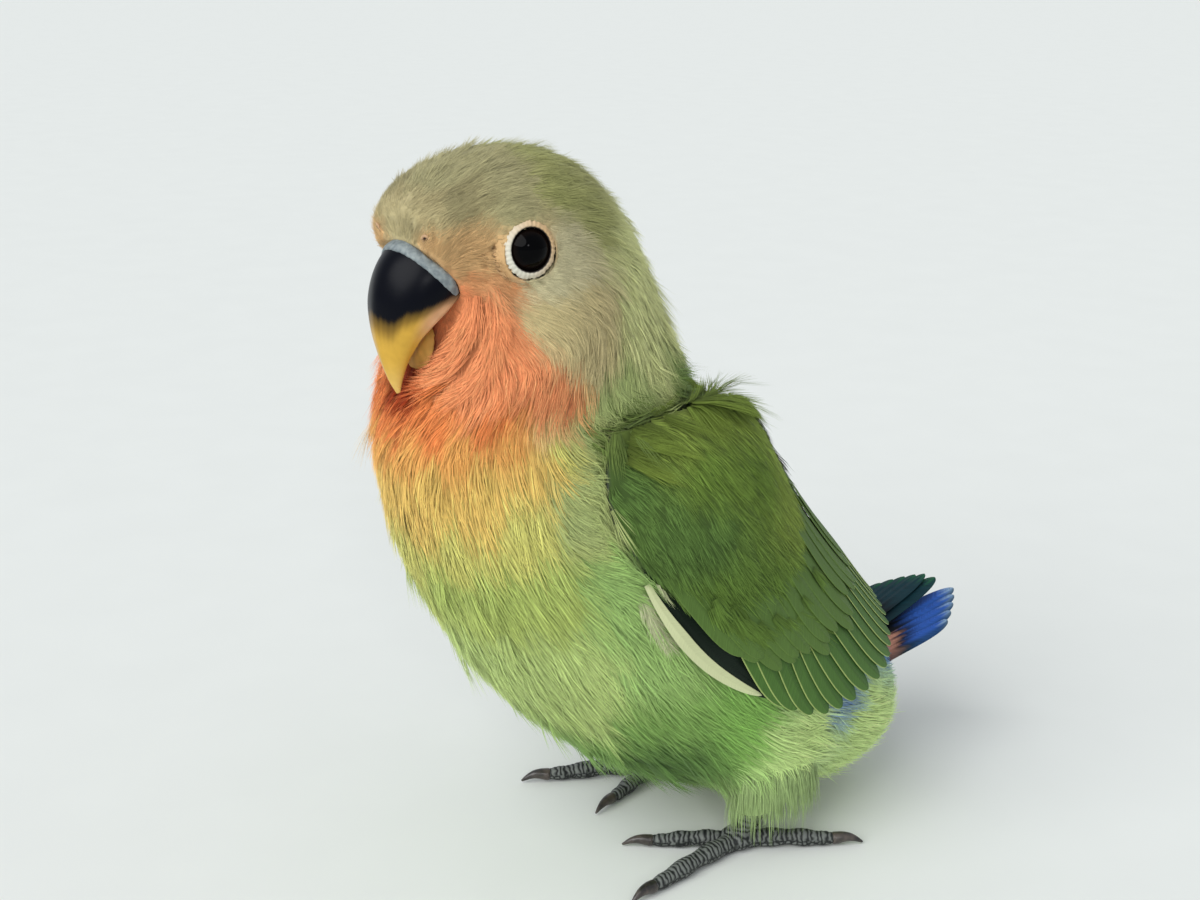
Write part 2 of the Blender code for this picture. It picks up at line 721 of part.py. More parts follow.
def main():
    clear_scene()
    model = new_collection("lovebird")
    cutters = new_collection("cutters")
    torso, neck, head = build_flesh(model)
    build_eyes(head, model, cutters)
    build_bill(head, model, cutters)
    build_wings(torso, model, cutters)
    build_tail(torso, model, cutters)
    for side in ("left", "right"):
        build_leg(side, torso, model, cutters)
    bpy.data.collections.remove(cutters)
    settle(model)
    paint(model)


main()
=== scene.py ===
import math

import bpy
import numpy as np
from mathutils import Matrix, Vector
from mathutils.bvhtree import BVHTree
from mathutils.kdtree import KDTree


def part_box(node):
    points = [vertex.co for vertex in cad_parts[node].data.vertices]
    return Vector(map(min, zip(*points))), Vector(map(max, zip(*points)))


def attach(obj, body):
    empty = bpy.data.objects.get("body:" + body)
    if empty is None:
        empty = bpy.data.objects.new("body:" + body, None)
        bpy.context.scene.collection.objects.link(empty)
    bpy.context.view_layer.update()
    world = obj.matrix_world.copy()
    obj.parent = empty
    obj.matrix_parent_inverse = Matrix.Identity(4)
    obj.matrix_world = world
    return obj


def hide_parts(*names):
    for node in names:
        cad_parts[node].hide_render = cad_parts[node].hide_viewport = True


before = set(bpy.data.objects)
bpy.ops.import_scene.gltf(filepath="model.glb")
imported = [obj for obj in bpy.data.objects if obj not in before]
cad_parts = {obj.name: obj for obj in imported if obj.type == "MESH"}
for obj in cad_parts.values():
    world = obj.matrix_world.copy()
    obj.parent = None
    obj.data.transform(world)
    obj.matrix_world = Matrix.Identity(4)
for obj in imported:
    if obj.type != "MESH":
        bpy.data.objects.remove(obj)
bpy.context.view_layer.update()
print("stage: frame loaded,", len(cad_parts), "nodes")

# Lengths in this script are in millimetres until a mesh is made.
mm = 0.001
draws = np.random.default_rng(41)
bothSides = (("left", 1.0), ("right", -1.0))

# The body's own form: belly (y, z), back (y, z), half width, lean of the width,
# from the tail root up to the forehead. A place is (station, degrees from the back).
bodyForm = {
    "stations": np.array((
        (37.0, 11.0, 38.0, 22.0, 7.0, 0.0),
        (33.4, 4.4, 33.6, 28.6, 12.2, 0.0),
        (23.5, 2.4, 27.6, 35.6, 16.5, -0.02),
        (8.0, 4.0, 21.7, 43.8, 19.5, -0.04),
        (-7.5, 9.6, 16.3, 51.1, 21.3, -0.04),
        (-20.8, 19.0, 12.0, 58.0, 22.0, -0.03),
        (-30.6, 29.6, 8.7, 63.6, 22.0, 0.0),
        (-37.0, 40.0, 5.6, 67.2, 21.3, 0.0),
        (-41.6, 50.2, 3.3, 70.0, 19.8, 0.0),
        (-43.8, 59.0, 1.0, 73.8, 18.1, 0.0),
        (-43.8, 66.0, -1.8, 78.2, 17.4, -0.02),
        (-41.8, 71.0, -3.8, 83.8, 17.9, -0.16),
        (-38.6, 76.0, -6.4, 90.8, 17.3, -0.24),
        (-37.4, 81.5, -11.4, 97.0, 15.3, -0.14),
        (-38.0, 86.3, -17.2, 101.0, 13.9, -0.08),
        (-39.0, 90.0, -24.0, 102.6, 12.3, 0.0),
        (-40.2, 92.6, -30.5, 101.7, 9.8, 0.0),
        (-40.8, 94.4, -35.8, 99.4, 6.6, 0.0),
        (-40.4, 96.0, -39.4, 97.0, 1.6, 0.0),
    )),
    "shift": np.array((0.0, -4.5, 0.0)),
    "head": np.array((-0.5, -26.1, 89.0)),
    "yaw": 10.0,
    "yawFrom": 10.0,
    "yawTo": 13.0,
}


def smooth(low, high, value):
    share = np.clip((value - low) / (high - low), 0.0, 1.0)
    return share * share * (3 - 2 * share)


def unit(rows):
    return rows / np.maximum(np.linalg.norm(rows, axis=-1, keepdims=True), 1e-9)


def splineAt(table, at):
    last = len(table) - 1
    at = np.clip(np.asarray(at, float), 0.0, last)
    low = np.minimum(at.astype(int), last - 1)
    f = (at - low)[..., None]
    p0 = table[np.maximum(low - 1, 0)]
    p1 = table[low]
    p2 = table[low + 1]
    p3 = table[np.minimum(low + 2, last)]
    cubic = 3 * p1 - 3 * p2 + p3 - p0
    square = 2 * p0 - 5 * p1 + 4 * p2 - p3
    return 0.5 * (2 * p1 + (p2 - p0) * f + square * f**2 + cubic * f**3)


def bodyPoint(station, degrees, turned=True):
    form = bodyForm
    rows = splineAt(form["stations"], station)
    bellyY, bellyZ, backY, backZ, wide, lean = np.moveaxis(rows, -1, 0)
    angle = np.radians(degrees)
    along = np.cos(angle)
    x = np.sin(angle) * wide * (1 + lean * along)
    y = (bellyY + backY) / 2 + along * (backY - bellyY) / 2
    z = (bellyZ + backZ) / 2 + along * (backZ - bellyZ) / 2
    if turned:
        span = form["yawTo"] - form["yawFrom"]
        share = np.clip((np.asarray(station) - form["yawFrom"]) / span, 0.0, 1.0)
        turn = math.radians(form["yaw"]) * share
        ahead = y - form["head"][1]
        y = np.sin(turn) * x + np.cos(turn) * ahead + form["head"][1]
        x = np.cos(turn) * x - np.sin(turn) * ahead + form["head"][0] * share
    return np.stack((x, y, z), -1) + form["shift"]


def bodyNormal(station, degrees):
    station = np.asarray(station, float)
    degrees = np.asarray(degrees, float)
    along = bodyPoint(station + 0.05, degrees) - bodyPoint(station - 0.05, degrees)
    around = bodyPoint(station, degrees + 2) - bodyPoint(station, degrees - 2)
    return unit(np.cross(along, around))


def onBody(station, degrees, lift):
    lift = np.asarray(lift, float)[..., None]
    return bodyPoint(station, degrees) + lift * bodyNormal(station, degrees)


def inHead(forward, left, up):
    yaw = math.radians(bodyForm["yaw"])
    ahead = np.array((math.sin(yaw), -math.cos(yaw), 0.0))
    side = np.array((math.cos(yaw), math.sin(yaw), 0.0))
    high = np.array((0.0, 0.0, 1.0))
    place = forward * ahead + left * side + up * high
    return bodyForm["head"] + bodyForm["shift"] + place


# The upper bill's form: outer edge (forward, up), inner edge (forward, up) and half width.
billForm = np.array((
    (11.0, 3.2, 7.0, -4.0, 6.3), (14.3, 2.5, 8.6, -5.6, 6.4), (16.8, 0.0, 10.2, -7.2, 6.0),
    (18.2, -3.7, 12.0, -8.4, 5.2), (18.3, -7.6, 13.4, -9.6, 4.0), (17.6, -11.4, 14.5, -11.6, 2.6),
    (16.7, -14.2, 15.1, -13.9, 1.4), (15.6, -16.2, 15.3, -15.9, 0.35),
))


def billPoint(row, angle):
    # one place on the upper bill; angle 0 is its outer ridge and 180 degrees its inner side
    rows = splineAt(billForm, row)
    outForward, outUp, inForward, inUp, wide = np.moveaxis(rows, -1, 0)
    along = np.cos(angle)
    share = np.where(along > 0, 0.5 + 0.5 * along, 0.5 + 0.45 * along)
    lip = 0.07 * np.exp(-(((np.abs(angle) - 2.15) / 0.16) ** 2)) * smooth(6.0, 4.0, row)
    ridge = 0.16 * np.exp(-((angle / 0.3) ** 2))
    forward = inForward + (outForward - inForward) * share + ridge
    up = inUp + (outUp - inUp) * share
    left = wide * np.sin(angle) * (1 - 0.15 * along) * (1 + lip)
    return inHead(forward[..., None], left[..., None], up[..., None])


def billNormal(row, angle):
    row = np.asarray(row, float)
    along = billPoint(row + 0.05, angle) - billPoint(row - 0.05, angle)
    around = billPoint(row, angle + 0.05) - billPoint(row, angle - 0.05)
    normal = unit(np.cross(along, around))
    middle = (billPoint(row, np.zeros_like(angle)) + billPoint(row, np.full_like(angle, math.pi))) / 2
    away = ((billPoint(row, angle) - middle) * normal).sum(-1, keepdims=True)
    return np.where(away < 0, -normal, normal)


# A dense net of places on the body, to look up the place nearest to any point.
netStations, netDegrees = np.meshgrid(np.arange(0, 18.01, 0.1), np.arange(-180, 180, 3.0))
netStations = netStations.ravel()
netDegrees = netDegrees.ravel()
netPoints = bodyPoint(netStations, netDegrees)
netTree = KDTree(len(netPoints))
for number, netPoint in enumerate(netPoints):
    netTree.insert(netPoint, number)
netTree.balance()


def placesOf(points):
    found = [netTree.find(point)[1] for point in points]
    return netStations[found], netDegrees[found]


# Mesh helpers
def selectOnly(made):
    bpy.ops.object.select_all(action="DESELECT")
    made.select_set(True)
    bpy.context.view_layer.objects.active = made


def applied(made, kind, **values):
    step = made.modifiers.new(kind.lower(), kind)
    for key, value in values.items():
        setattr(step, key, value)
    selectOnly(made)
    bpy.ops.object.modifier_apply(modifier=step.name)
    return made


def cleaned(made, threshold=0.00001):
    # joins points nearer than the threshold, in metres, and turns every face outward
    selectOnly(made)
    bpy.ops.object.mode_set(mode="EDIT")
    bpy.ops.mesh.select_all(action="SELECT")
    if threshold:
        bpy.ops.mesh.remove_doubles(threshold=threshold)
    bpy.ops.mesh.normals_make_consistent(inside=False)
    bpy.ops.object.mode_set(mode="OBJECT")
    return made


def copyOf(names, name):
    bpy.ops.object.select_all(action="DESELECT")
    for node in names:
        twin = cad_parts[node].copy()
        twin.data = twin.data.copy()
        twin.parent = None
        for key in list(twin.keys()):
            del twin[key]
        twin.data.materials.clear()
        bpy.context.scene.collection.objects.link(twin)
        twin.select_set(True)
        bpy.context.view_layer.objects.active = twin
    if len(names) > 1:
        bpy.ops.object.join()
    made = bpy.context.view_layer.objects.active
    made.name = name
    made.data.name = name
    return cleaned(made)


def pointsOf(made):
    flat = np.empty(len(made.data.vertices) * 3, np.float32)
    made.data.vertices.foreach_get("co", flat)
    return flat.reshape(-1, 3).astype(float) / mm


def normalsOf(made):
    flat = np.empty(len(made.data.vertices) * 3, np.float32)
    made.data.vertex_normals.foreach_get("vector", flat)
    return flat.reshape(-1, 3).astype(float)


def movePoints(made, points):
    made.data.vertices.foreach_set("co", (points * mm).astype(np.float32).ravel())
    made.data.update()


def paintPoints(made, colours):
    layer = made.data.color_attributes.new("markings", "FLOAT_COLOR", "POINT")
    rgba = np.ones((len(colours), 4), np.float32)
    rgba[:, :3] = colours
    layer.data.foreach_set("color", rgba.ravel())


def uvPoints(made, uv, name):
    layer = made.data.uv_layers.new(name=name)
    corners = np.empty(len(made.data.loops), np.int32)
    made.data.loops.foreach_get("vertex_index", corners)
    layer.data.foreach_set("uv", uv[corners].astype(np.float32).ravel())


def bakePlace(stations, degrees):
    # the body unrolled into one square
    return np.stack((degrees / 360 + 0.5, stations / 18.4), -1)


def smoothed(made):
    for face in made.data.polygons:
        face.use_smooth = True


def meshFrom(name, points, faces):
    # faces is one array, so each face has as many corners as the next
    made = bpy.data.meshes.new(name)
    count, sides = faces.shape
    made.vertices.add(len(points))
    made.loops.add(count * sides)
    made.polygons.add(count)
    made.vertices.foreach_set("co", (points * mm).astype(np.float32).ravel())
    made.loops.foreach_set("vertex_index", faces.astype(np.int32).ravel())
    made.polygons.foreach_set("loop_start", np.arange(0, count * sides, sides, dtype=np.int32))
    made.polygons.foreach_set("use_smooth", np.ones(count, bool))
    made.update(calc_edges=True)
    held = bpy.data.objects.new(name, made)
    bpy.context.scene.collection.objects.link(held)
    return held


def wallFaces(rings, around, start):
    # quads between the rings of a tube
    faces = []
    for row in range(rings - 1):
        low = start + row * around
        for step in range(around):
            ahead = (step + 1) % around
            faces.append((low + step, low + ahead, low + around + ahead, low + around + step))
    return faces


def ringFaces(rings, around, start=0):
    # a tube whose ends are closed by strips across
    faces = wallFaces(rings, around, start)
    for low in (start, start + (rings - 1) * around):
        for step in range(around // 2 - 1):
            faces.append((low + step, low + step + 1, low + around - 2 - step, low + around - 1 - step))
    return faces


def tubeFaces(rings, around, start=0):
    # a tube whose ends are closed by fans
    faces = wallFaces(rings, around, start)
    for low in (start, start + (rings - 1) * around):
        for step in range(1, around - 2, 2):
            faces.append((low, low + step, low + step + 1, low + step + 2))
    return faces


# Materials
def linear(colour):
    share = np.asarray(colour, float) / 255
    return np.where(share <= 0.04045, share / 12.92, ((share + 0.055) / 1.055) ** 2.4)


def addNode(tree, kind, links=(), **settings):
    made = tree.nodes.new(kind)
    for key, value in settings.items():
        if key.startswith("in_"):
            slot = key[3:]
            made.inputs[int(slot) if slot.isdigit() else slot].default_value = value
        else:
            setattr(made, key, value)
    for source, target in links:
        tree.links.new(source, made.inputs[target])
    return made


def newMaterial(name, **sockets):
    made = bpy.data.materials.new(name)
    made.use_nodes = True
    shader = made.node_tree.nodes["Principled BSDF"]
    for key, value in sockets.items():
        shader.inputs[key.replace("_", " ")].default_value = value
    return made, made.node_tree, shader


def ramp(tree, source, stops):
    made = addNode(tree, "ShaderNodeValToRGB", [(source, "Fac")])
    while len(made.color_ramp.elements) < len(stops):
        made.color_ramp.elements.new(0.5)
    for element, (place, colour) in zip(made.color_ramp.elements, stops):
        element.position = place
        element.color = (*colour, 1.0)
    return made


def bump(tree, shader, height, strength, distance=0.0002):
    made = addNode(
        tree, "ShaderNodeBump", [(height, "Height")], in_Strength=strength, in_Distance=distance
    )
    tree.links.new(made.outputs["Normal"], shader.inputs["Normal"])


def grainOf(tree, scale, detail=2.0):
    place = addNode(tree, "ShaderNodeTexCoord")
    made = addNode(
        tree, "ShaderNodeTexNoise", [(place.outputs["Object"], "Vector")], in_Scale=scale, in_Detail=detail
    )
    return made.outputs["Fac"]


def between(tree, source, low, high, least=0.0, most=1.0):
    # source from least to most becomes low to high
    made = addNode(
        tree, "ShaderNodeMapRange", [(source, "Value")], in_1=least, in_2=most, in_3=low, in_4=high
    )
    return made.outputs["Result"]


def timesOf(tree, source, factor):
    return addNode(tree, "ShaderNodeMath", [(source, 0)], operation="MULTIPLY", in_1=factor).outputs[0]


def usePaint(tree, shader, shade=None):
    # the painted markings, darker and lighter by the shade where one is given
    tone = addNode(tree, "ShaderNodeAttribute", attribute_name="markings").outputs["Color"]
    if shade is not None:
        mixed = addNode(tree, "ShaderNodeVectorMath", [(tone, 0), (shade, 1)], operation="MULTIPLY")
        tone = mixed.outputs["Vector"]
    tree.links.new(tone, shader.inputs["Base Color"])


def featherMaterial(name, rough=0.75, sheen=0.08):
    made, tree, shader = newMaterial(
        name, Roughness=rough, Sheen_Weight=sheen, Sheen_Roughness=0.5, Specular_IOR_Level=0.08
    )
    usePaint(tree, shader, between(tree, grainOf(tree, 900.0), 0.86, 1.14))
    return made


def vaneMaterial(name, rough=0.55, depth=0.5):
    # barbs run out from the shaft and on towards the tip
    made, tree, shader = newMaterial(name, Roughness=rough, Sheen_Weight=0.03, Specular_IOR_Level=0.15)
    place = addNode(tree, "ShaderNodeUVMap", uv_map="barbs")
    parts = addNode(tree, "ShaderNodeSeparateXYZ", [(place.outputs["UV"], 0)])
    slant = addNode(
        tree, "ShaderNodeMath", [(parts.outputs["X"], 0), (parts.outputs["Y"], 2)],
        operation="MULTIPLY_ADD", in_1=-0.9,
    )
    wide = timesOf(tree, parts.outputs["X"], 0.3)
    close = timesOf(tree, slant.outputs[0], 4.2)
    joined = addNode(tree, "ShaderNodeCombineXYZ", [(wide, 0), (close, 1)])
    barbs = addNode(
        tree, "ShaderNodeTexNoise", [(joined.outputs[0], "Vector")], in_Scale=1.0, in_Detail=3.0
    ).outputs["Fac"]
    usePaint(tree, shader, between(tree, barbs, 1.0 - 0.5 * depth, 1.0 + 0.4 * depth, 0.3, 0.7))
    bump(tree, shader, barbs, 0.5, 0.0001)
    return made


# Markings
coatColours = {
    "crown": (176, 170, 126),
    "crownBack": (172, 174, 110),
    "forehead": (184, 172, 128),
    "lores": (218, 178, 125),
    "underEye": (218, 154, 104),
    "eyeRim": (214, 184, 134),
    "ear": (212, 204, 162),
    "cheekGrey": (214, 198, 146),
    "nape": (226, 230, 160),
    "cheekOrange": (254, 158, 106),
    "throat": (246, 142, 80),
    # partly the throat's deeper red-brown, partly painted shade in the hollow under the bill tip
    "hollowShade": (156, 58, 26),
    "collar": (252, 180, 100),
    "yellow": (242, 202, 112),
    "yellowGreen": (220, 216, 122),
    "breastGreen": (188, 206, 114),
    "belly": (200, 222, 138),
    "flank": (152, 204, 102),
    "side": (170, 206, 122),
    "shade": (100, 136, 70),
    "wingTop": (104, 124, 62),
    "buff": (240, 206, 140),
    "olive": (158, 150, 110),
    # painted shade: the belly's underside is painted darker, where shade falls beneath the bird
    "bellyUnderShade": (138, 178, 94),
    "vent": (216, 246, 156),
    "mantle": (124, 152, 78),
    "rump": (64, 120, 196),
    "rumpSide": (120, 150, 190),
    "sideGreen": (180, 194, 126),
    "thigh": (168, 194, 128),
}
marks = {
    "crown": ((15.6, 26), (16.6, 17), (15.4, 0), (15.3, 60), (14.9, 88)),
    "olive": ((16.4, 80),),
    "forehead": ((17.4, 150), (16.9, 110), (17.8, 60)),
    "lores": ((15.1, 127), (14.3, 138), (15.6, 143), (13.9, 126)),
    "eyeRim": ((14.0, 107),),
    "underEye": ((13.3, 124), (13.9, 139)),
    "crownBack": ((14.0, 58), (12.8, 55), (13.4, 0), (14.4, 20)),
    "ear": ((13.2, 88), (12.9, 102), (12.4, 84), (13.3, 116)),
    "cheekGrey": ((12.3, 112), (11.7, 98), (11.2, 90), (12.0, 84), (10.6, 84)),
    "nape": ((11.7, 45), (10.2, 28), (11.4, 0), (10.4, 62), (11.4, 62)),
    "cheekOrange": (
        (13.2, 150), (12.6, 141), (11.9, 132), (11.2, 121), (10.5, 108), (11.6, 146), (10.9, 134),
        (12.5, 155), (12.3, 163), (11.7, 162), (10.1, 98),
    ),
    "throat": ((11.2, 164), (10.4, 174), (10.3, 150), (10.3, 125)),
    # partly the throat's own red-brown, partly painted shade under the bill tip
    "hollowShade": ((11.9, 180), (11.5, 178), (11.2, 176)),
    "collar": ((9.9, 180), (9.85, 160), (9.8, 140), (9.75, 118)),
    "buff": ((9.6, 102),),
    "yellow": ((9.2, 172), (9.2, 150), (9.1, 128), (9.1, 108), (8.7, 160), (8.6, 135)),
    "yellowGreen": ((9.15, 101), (8.0, 175), (8.1, 147), (8.2, 122)),
    "sideGreen": ((9.9, 72), (9.8, 82), (9.3, 92), (8.6, 95), (8.1, 102)),
    "wingTop": ((9.35, 75), (9.1, 81), (8.8, 85)),
    "breastGreen": ((7.5, 163), (7.3, 140), (7.1, 122)),
    "side": ((6.8, 104), (6.0, 106), (5.4, 113)),
    "belly": ((6.4, 165), (6.1, 145), (5.8, 128), (5.2, 142)),
    # painted shade on the belly's underside
    "bellyUnderShade": ((4.4, 175), (4.9, 134), (4.5, 124), (4.7, 156)),
    "flank": ((4.0, 108),),
    "shade": ((4.4, 144), (4.25, 136)),
    "vent": ((3.0, 106), (2.0, 108), (2.6, 150), (1.2, 170), (1.2, 120), (2.9, 99), (2.0, 97)),
    "mantle": ((9.0, 0), (8.9, 40), (7.0, 0), (5.4, 0), (6.5, 40)),
    "rump": ((3.9, 0), (3.0, 30), (2.2, 0), (2.6, 62), (1.2, 30)),
    "rumpSide": ((2.6, 90),),
}


def paletteOf(rows, colours):
    # every mark's place on the body and its colour
    places = [place for row in rows.values() for place in row]
    tones = [linear(colours[name]) for name, row in rows.items() for _ in row]
    return bodyPoint(*zip(*places), turned=False), np.array(tones)


def blended(palette, stations, degrees, near, power):
    # colours run into each other by how far each mark is
    places, tones = palette
    here = bodyPoint(stations, np.abs(degrees), turned=False)
    far = ((here[:, None] - places[None]) ** 2).sum(-1)
    weight = 1.0 / (far + near) ** power
    return (weight @ tones) / weight.sum(-1, keepdims=True)


coatPalette = paletteOf(marks, coatColours)


def markingsAt(stations, degrees):
    return blended(coatPalette, stations, degrees, 0.8, 2.4)


# Eyes' places, and the coat's length and depth
eyePlaces = {
    # forward, left and up along the eye's axis, how far it is raised, and the rim's distance
    "axis": (0.34, 0.93, 0.06),
    "raise": 0.5,
    "rim": 2.6,
}
coatForm = {
    # station and length
    "long": (
        (0.0, 4.0), (1.0, 5.5), (3.0, 8.0), (5.0, 8.5), (7.0, 8.5), (8.5, 7.5), (9.5, 6.5), (10.5, 6.0),
        (11.5, 5.2), (12.5, 4.4), (13.5, 3.7), (15.0, 3.3), (16.5, 2.8), (18.0, 2.4),
    ),
    # shortest length, gain for each mm beyond a distance, and that distance
    "byBill": (1.9, 0.3, 6.5),
    "byEye": (0.85, 0.72, 3.2),
    # depth at no length, and the share of the length
    "depth": (0.16, 0.17),
}
billRoot = inHead(12.0, 0.0, -3.0)


def eyeAt(side, sign):
    own = eyePlaces
    forward, left, up = own["axis"]
    axis = inHead(forward, sign * left, up) - inHead(0.0, 0.0, 0.0)
    axis = axis / np.linalg.norm(axis)
    centre = np.mean([np.array(corner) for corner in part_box(side + "_eye")], axis=0) / mm
    centre = centre + (0.0, 0.0, own["raise"])
    return {"sign": sign, "axis": axis, "centre": centre, "rim": centre + own["rim"] * axis}


eyes = {side: eyeAt(side, sign) for side, sign in bothSides}


def eyeDistance(points):
    return np.minimum(*(np.linalg.norm(points - eye["rim"], axis=-1) for eye in eyes.values()))


def coatLength(points, stations):
    own = coatForm
    length = np.interp(stations, *zip(*own["long"]))
    toBill = np.linalg.norm(points - billRoot, axis=-1)
    for (least, gain, start), away in ((own["byBill"], toBill), (own["byEye"], eyeDistance(points))):
        length = np.minimum(length, least + gain * np.maximum(away - start, 0.0))
    return length


def coatDepth(points, stations):
    least, share = coatForm["depth"]
    return least + share * coatLength(points, stations)


# Skin
skinSettings = {
    "nodes": ("torso", "neck", "head", "left_thigh", "right_thigh"),
    "grow": 0.3,
    "voxel": 0.62,
    "mostDepth": 2.0,
    # the puffed feathers beside the forehead: how far forward and outward they push, place and reach
    "brow": (1.2, 2.3),
    "browPlace": (12.8, 4.8, 3.2),
    "browReach": (3.4, 3.0, 3.4),
    # the dip between the shoulders: depth, station and reach in stations and degrees
    "dip": 2.4,
    "dipStation": 8.4,
    "dipReach": (1.1, 42.0),
    "shade": 0.85,
}


def billCollar():
    # the skin of the forehead and lores, brought forward onto the root of the bill
    angle = np.linspace(-2.2, 2.2, 60)
    rows = np.array((-0.4, 0.0, 0.3, 0.6, 0.85, 1.02, 1.08, 1.0, 0.5, -0.4))
    lifts = np.array((1.0, 1.7, 1.9, 1.7, 1.3, 0.8, 0.2, -0.6, -0.8, -0.8))
    row, turn = np.meshgrid(rows, angle)
    lift = lifts[None] * np.where(lifts > 0, 0.55 + 0.45 * np.exp(-((turn / 0.9) ** 2)), 1.0)
    points = billPoint(row, turn) + billNormal(row, turn) * lift[..., None]
    collar = meshFrom("collar", points.reshape(-1, 3), np.array(tubeFaces(len(angle), len(rows))))
    return cleaned(collar, 0.000001)


def makeSkin():
    own = skinSettings
    skin = copyOf(own["nodes"], "skin")
    collar = billCollar()
    bpy.ops.object.select_all(action="DESELECT")
    collar.select_set(True)
    skin.select_set(True)
    bpy.context.view_layer.objects.active = skin
    bpy.ops.object.join()
    applied(skin, "DISPLACE", strength=own["grow"] * mm, mid_level=0.0)
    applied(skin, "REMESH", mode="VOXEL", voxel_size=own["voxel"] * mm, use_smooth_shade=True)
    applied(skin, "SMOOTH", factor=0.5, iterations=5)
    points = pointsOf(skin)
    origin = inHead(0.0, 0.0, 0.0)
    axes = np.stack([inHead(*row) - origin for row in np.eye(3)])
    local = (points - origin) @ axes.T
    outward = np.sign(local[:, 1:2])
    local[:, 1] = np.abs(local[:, 1])
    puff = np.exp(-(((local - own["browPlace"]) / own["browReach"]) ** 2).sum(-1))[:, None]
    points += puff * (own["brow"][0] * axes[0] + own["brow"][1] * outward * axes[1])
    stations, degrees = placesOf(points)
    dip = ((stations - own["dipStation"]) / own["dipReach"][0]) ** 2 + (degrees / own["dipReach"][1]) ** 2
    points -= own["dip"] * np.exp(-dip)[:, None] * bodyNormal(stations, degrees)
    movePoints(skin, points)
    depth = own["grow"] + coatDepth(points, stations)
    group = skin.vertex_groups.new(name="depth")
    for index, share in enumerate(np.clip(depth / own["mostDepth"], 0.0, 1.0)):
        group.add([index], float(share), "REPLACE")
    applied(skin, "DISPLACE", strength=-own["mostDepth"] * mm, mid_level=0.0, vertex_group="depth")
    applied(skin, "SMOOTH", factor=0.4, iterations=2)
    paintPoints(skin, markingsAt(stations, degrees) * own["shade"])
    uvPoints(skin, bakePlace(stations, degrees), "OFBake")
    skin.data.materials.append(featherMaterial("skin down", 0.85, 0.2))
    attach(skin, "root")
    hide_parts(*own["nodes"])
    return skin


skin = makeSkin()
print("stage: skin,", len(skin.data.vertices), "points")

# Wing form
wingForm = {
    # places of the lower and upper edge, and the height between them, from the shoulder to the tip
    "low": np.array((
        (9.2, 84.0), (8.5, 91.0), (7.5, 96.0), (6.4, 94.0), (5.4, 91.0), (4.6, 87.0), (3.9, 80.0),
        (3.0, 66.0),
    )),
    "high": np.array((
        (8.8, 60.0), (8.4, 46.0), (7.7, 31.0), (6.7, 19.0), (5.6, 14.0), (4.6, 14.0), (3.8, 17.0),
        (2.9, 24.0),
    )),
    "rise": np.array((1.1, 1.7, 2.5, 3.2, 3.2, 2.7, 2.2, 1.6))[:, None],
    "slope": 0.32,
    "edge": 0.4,
    "sunk": 0.75,
    "under": -1.6,
    "shade": 0.45,
    "columns": 60,
    "rows": 30,
}
wingColours = {
    "shoulder": (146, 164, 78),
    "upper": (144, 166, 76),
    "middle": (112, 140, 60),
    "dark": (94, 124, 62),
    "low": (106, 136, 60),
    "secondary": (74, 110, 46),
    "secondaryDark": (54, 90, 38),
    "paleEdge": (166, 186, 108),
    "primary": (12, 28, 16),
    "whiteEdge": (206, 212, 164),
    "ruffled": (122, 142, 62),
    "primaryEdge": (36, 66, 38),
    "covert": (84, 112, 50),
    "covertEdge": (104, 132, 62),
}


def alongRow(row, share):
    return splineAt(row, np.asarray(share, float) * (len(row) - 1))


def wingEdge(edge, stations):
    # degrees of the wing's low or high edge at these stations
    rows = wingForm[edge][::-1]
    return np.interp(stations, rows[:, 0], rows[:, 1])


wingMarks = {
    "shoulder": ((9.0, 60), (8.6, 40)),
    "upper": ((7.8, 40), (7.0, 30), (8.2, 68), (5.6, 28), (4.9, 43), (4.2, 26)),
    "middle": ((7.2, 64), (6.2, 50), (3.4, 40)),
    "dark": ((7.0, 84), (6.4, 78), (8.0, 86)),
    "low": ((5.6, 84), (4.8, 76), (4.0, 62)),
}
wingPalette = paletteOf(wingMarks, wingColours)


def wingPaint(stations, degrees):
    return blended(wingPalette, stations, degrees, 6.0, 2.0)


def makeWingForm(side, sign):
    own = wingForm
    rings = []
    shares = 0.5 - 0.5 * np.cos(np.linspace(0, math.pi, own["rows"]))
    for column in range(own["columns"]):
        along = column / (own["columns"] - 1)
        low = alongRow(own["low"], along)
        high = alongRow(own["high"], along)
        rise = float(alongRow(own["rise"], along)[0]) - own["sunk"]
        place = (1 - shares)[:, None] * low + shares[:, None] * high
        swell = np.sin(math.pi * shares).clip(0.0) ** 0.35 * (1 - own["slope"] * shares**2)
        over = onBody(place[:, 0], place[:, 1], own["edge"] + (rise - own["edge"]) * swell)
        under = onBody(place[:, 0], place[:, 1], np.full(len(shares), own["under"]))
        rings.append(np.concatenate((over, under[::-1])))
    points = np.concatenate(rings)
    points[:, 0] *= sign
    faces = np.array(ringFaces(own["columns"], 2 * own["rows"]))
    made = meshFrom(side + "_wing_form", points, faces)
    cleaned(made, 0.000002)
    stations, degrees = placesOf(pointsOf(made))
    paintPoints(made, wingPaint(stations, degrees) * own["shade"])
    uvPoints(made, bakePlace(stations, degrees), "OFBake")
    made.data.materials.append(featherMaterial(side + " wing down", 0.8, 0.1))
    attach(made, "root")
    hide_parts(side + "_wing")
    return made


wingForms = [makeWingForm(side, sign) for side, sign in bothSides]
print("stage: wing forms")


# One surface of skin and wings, for roots and for the lie of the coat
def trianglesOf(made):
    made.data.calc_loop_triangles()
    flat = np.empty(len(made.data.loop_triangles) * 3, np.int32)
    made.data.loop_triangles.foreach_get("vertices", flat)
    return flat.reshape(-1, 3)


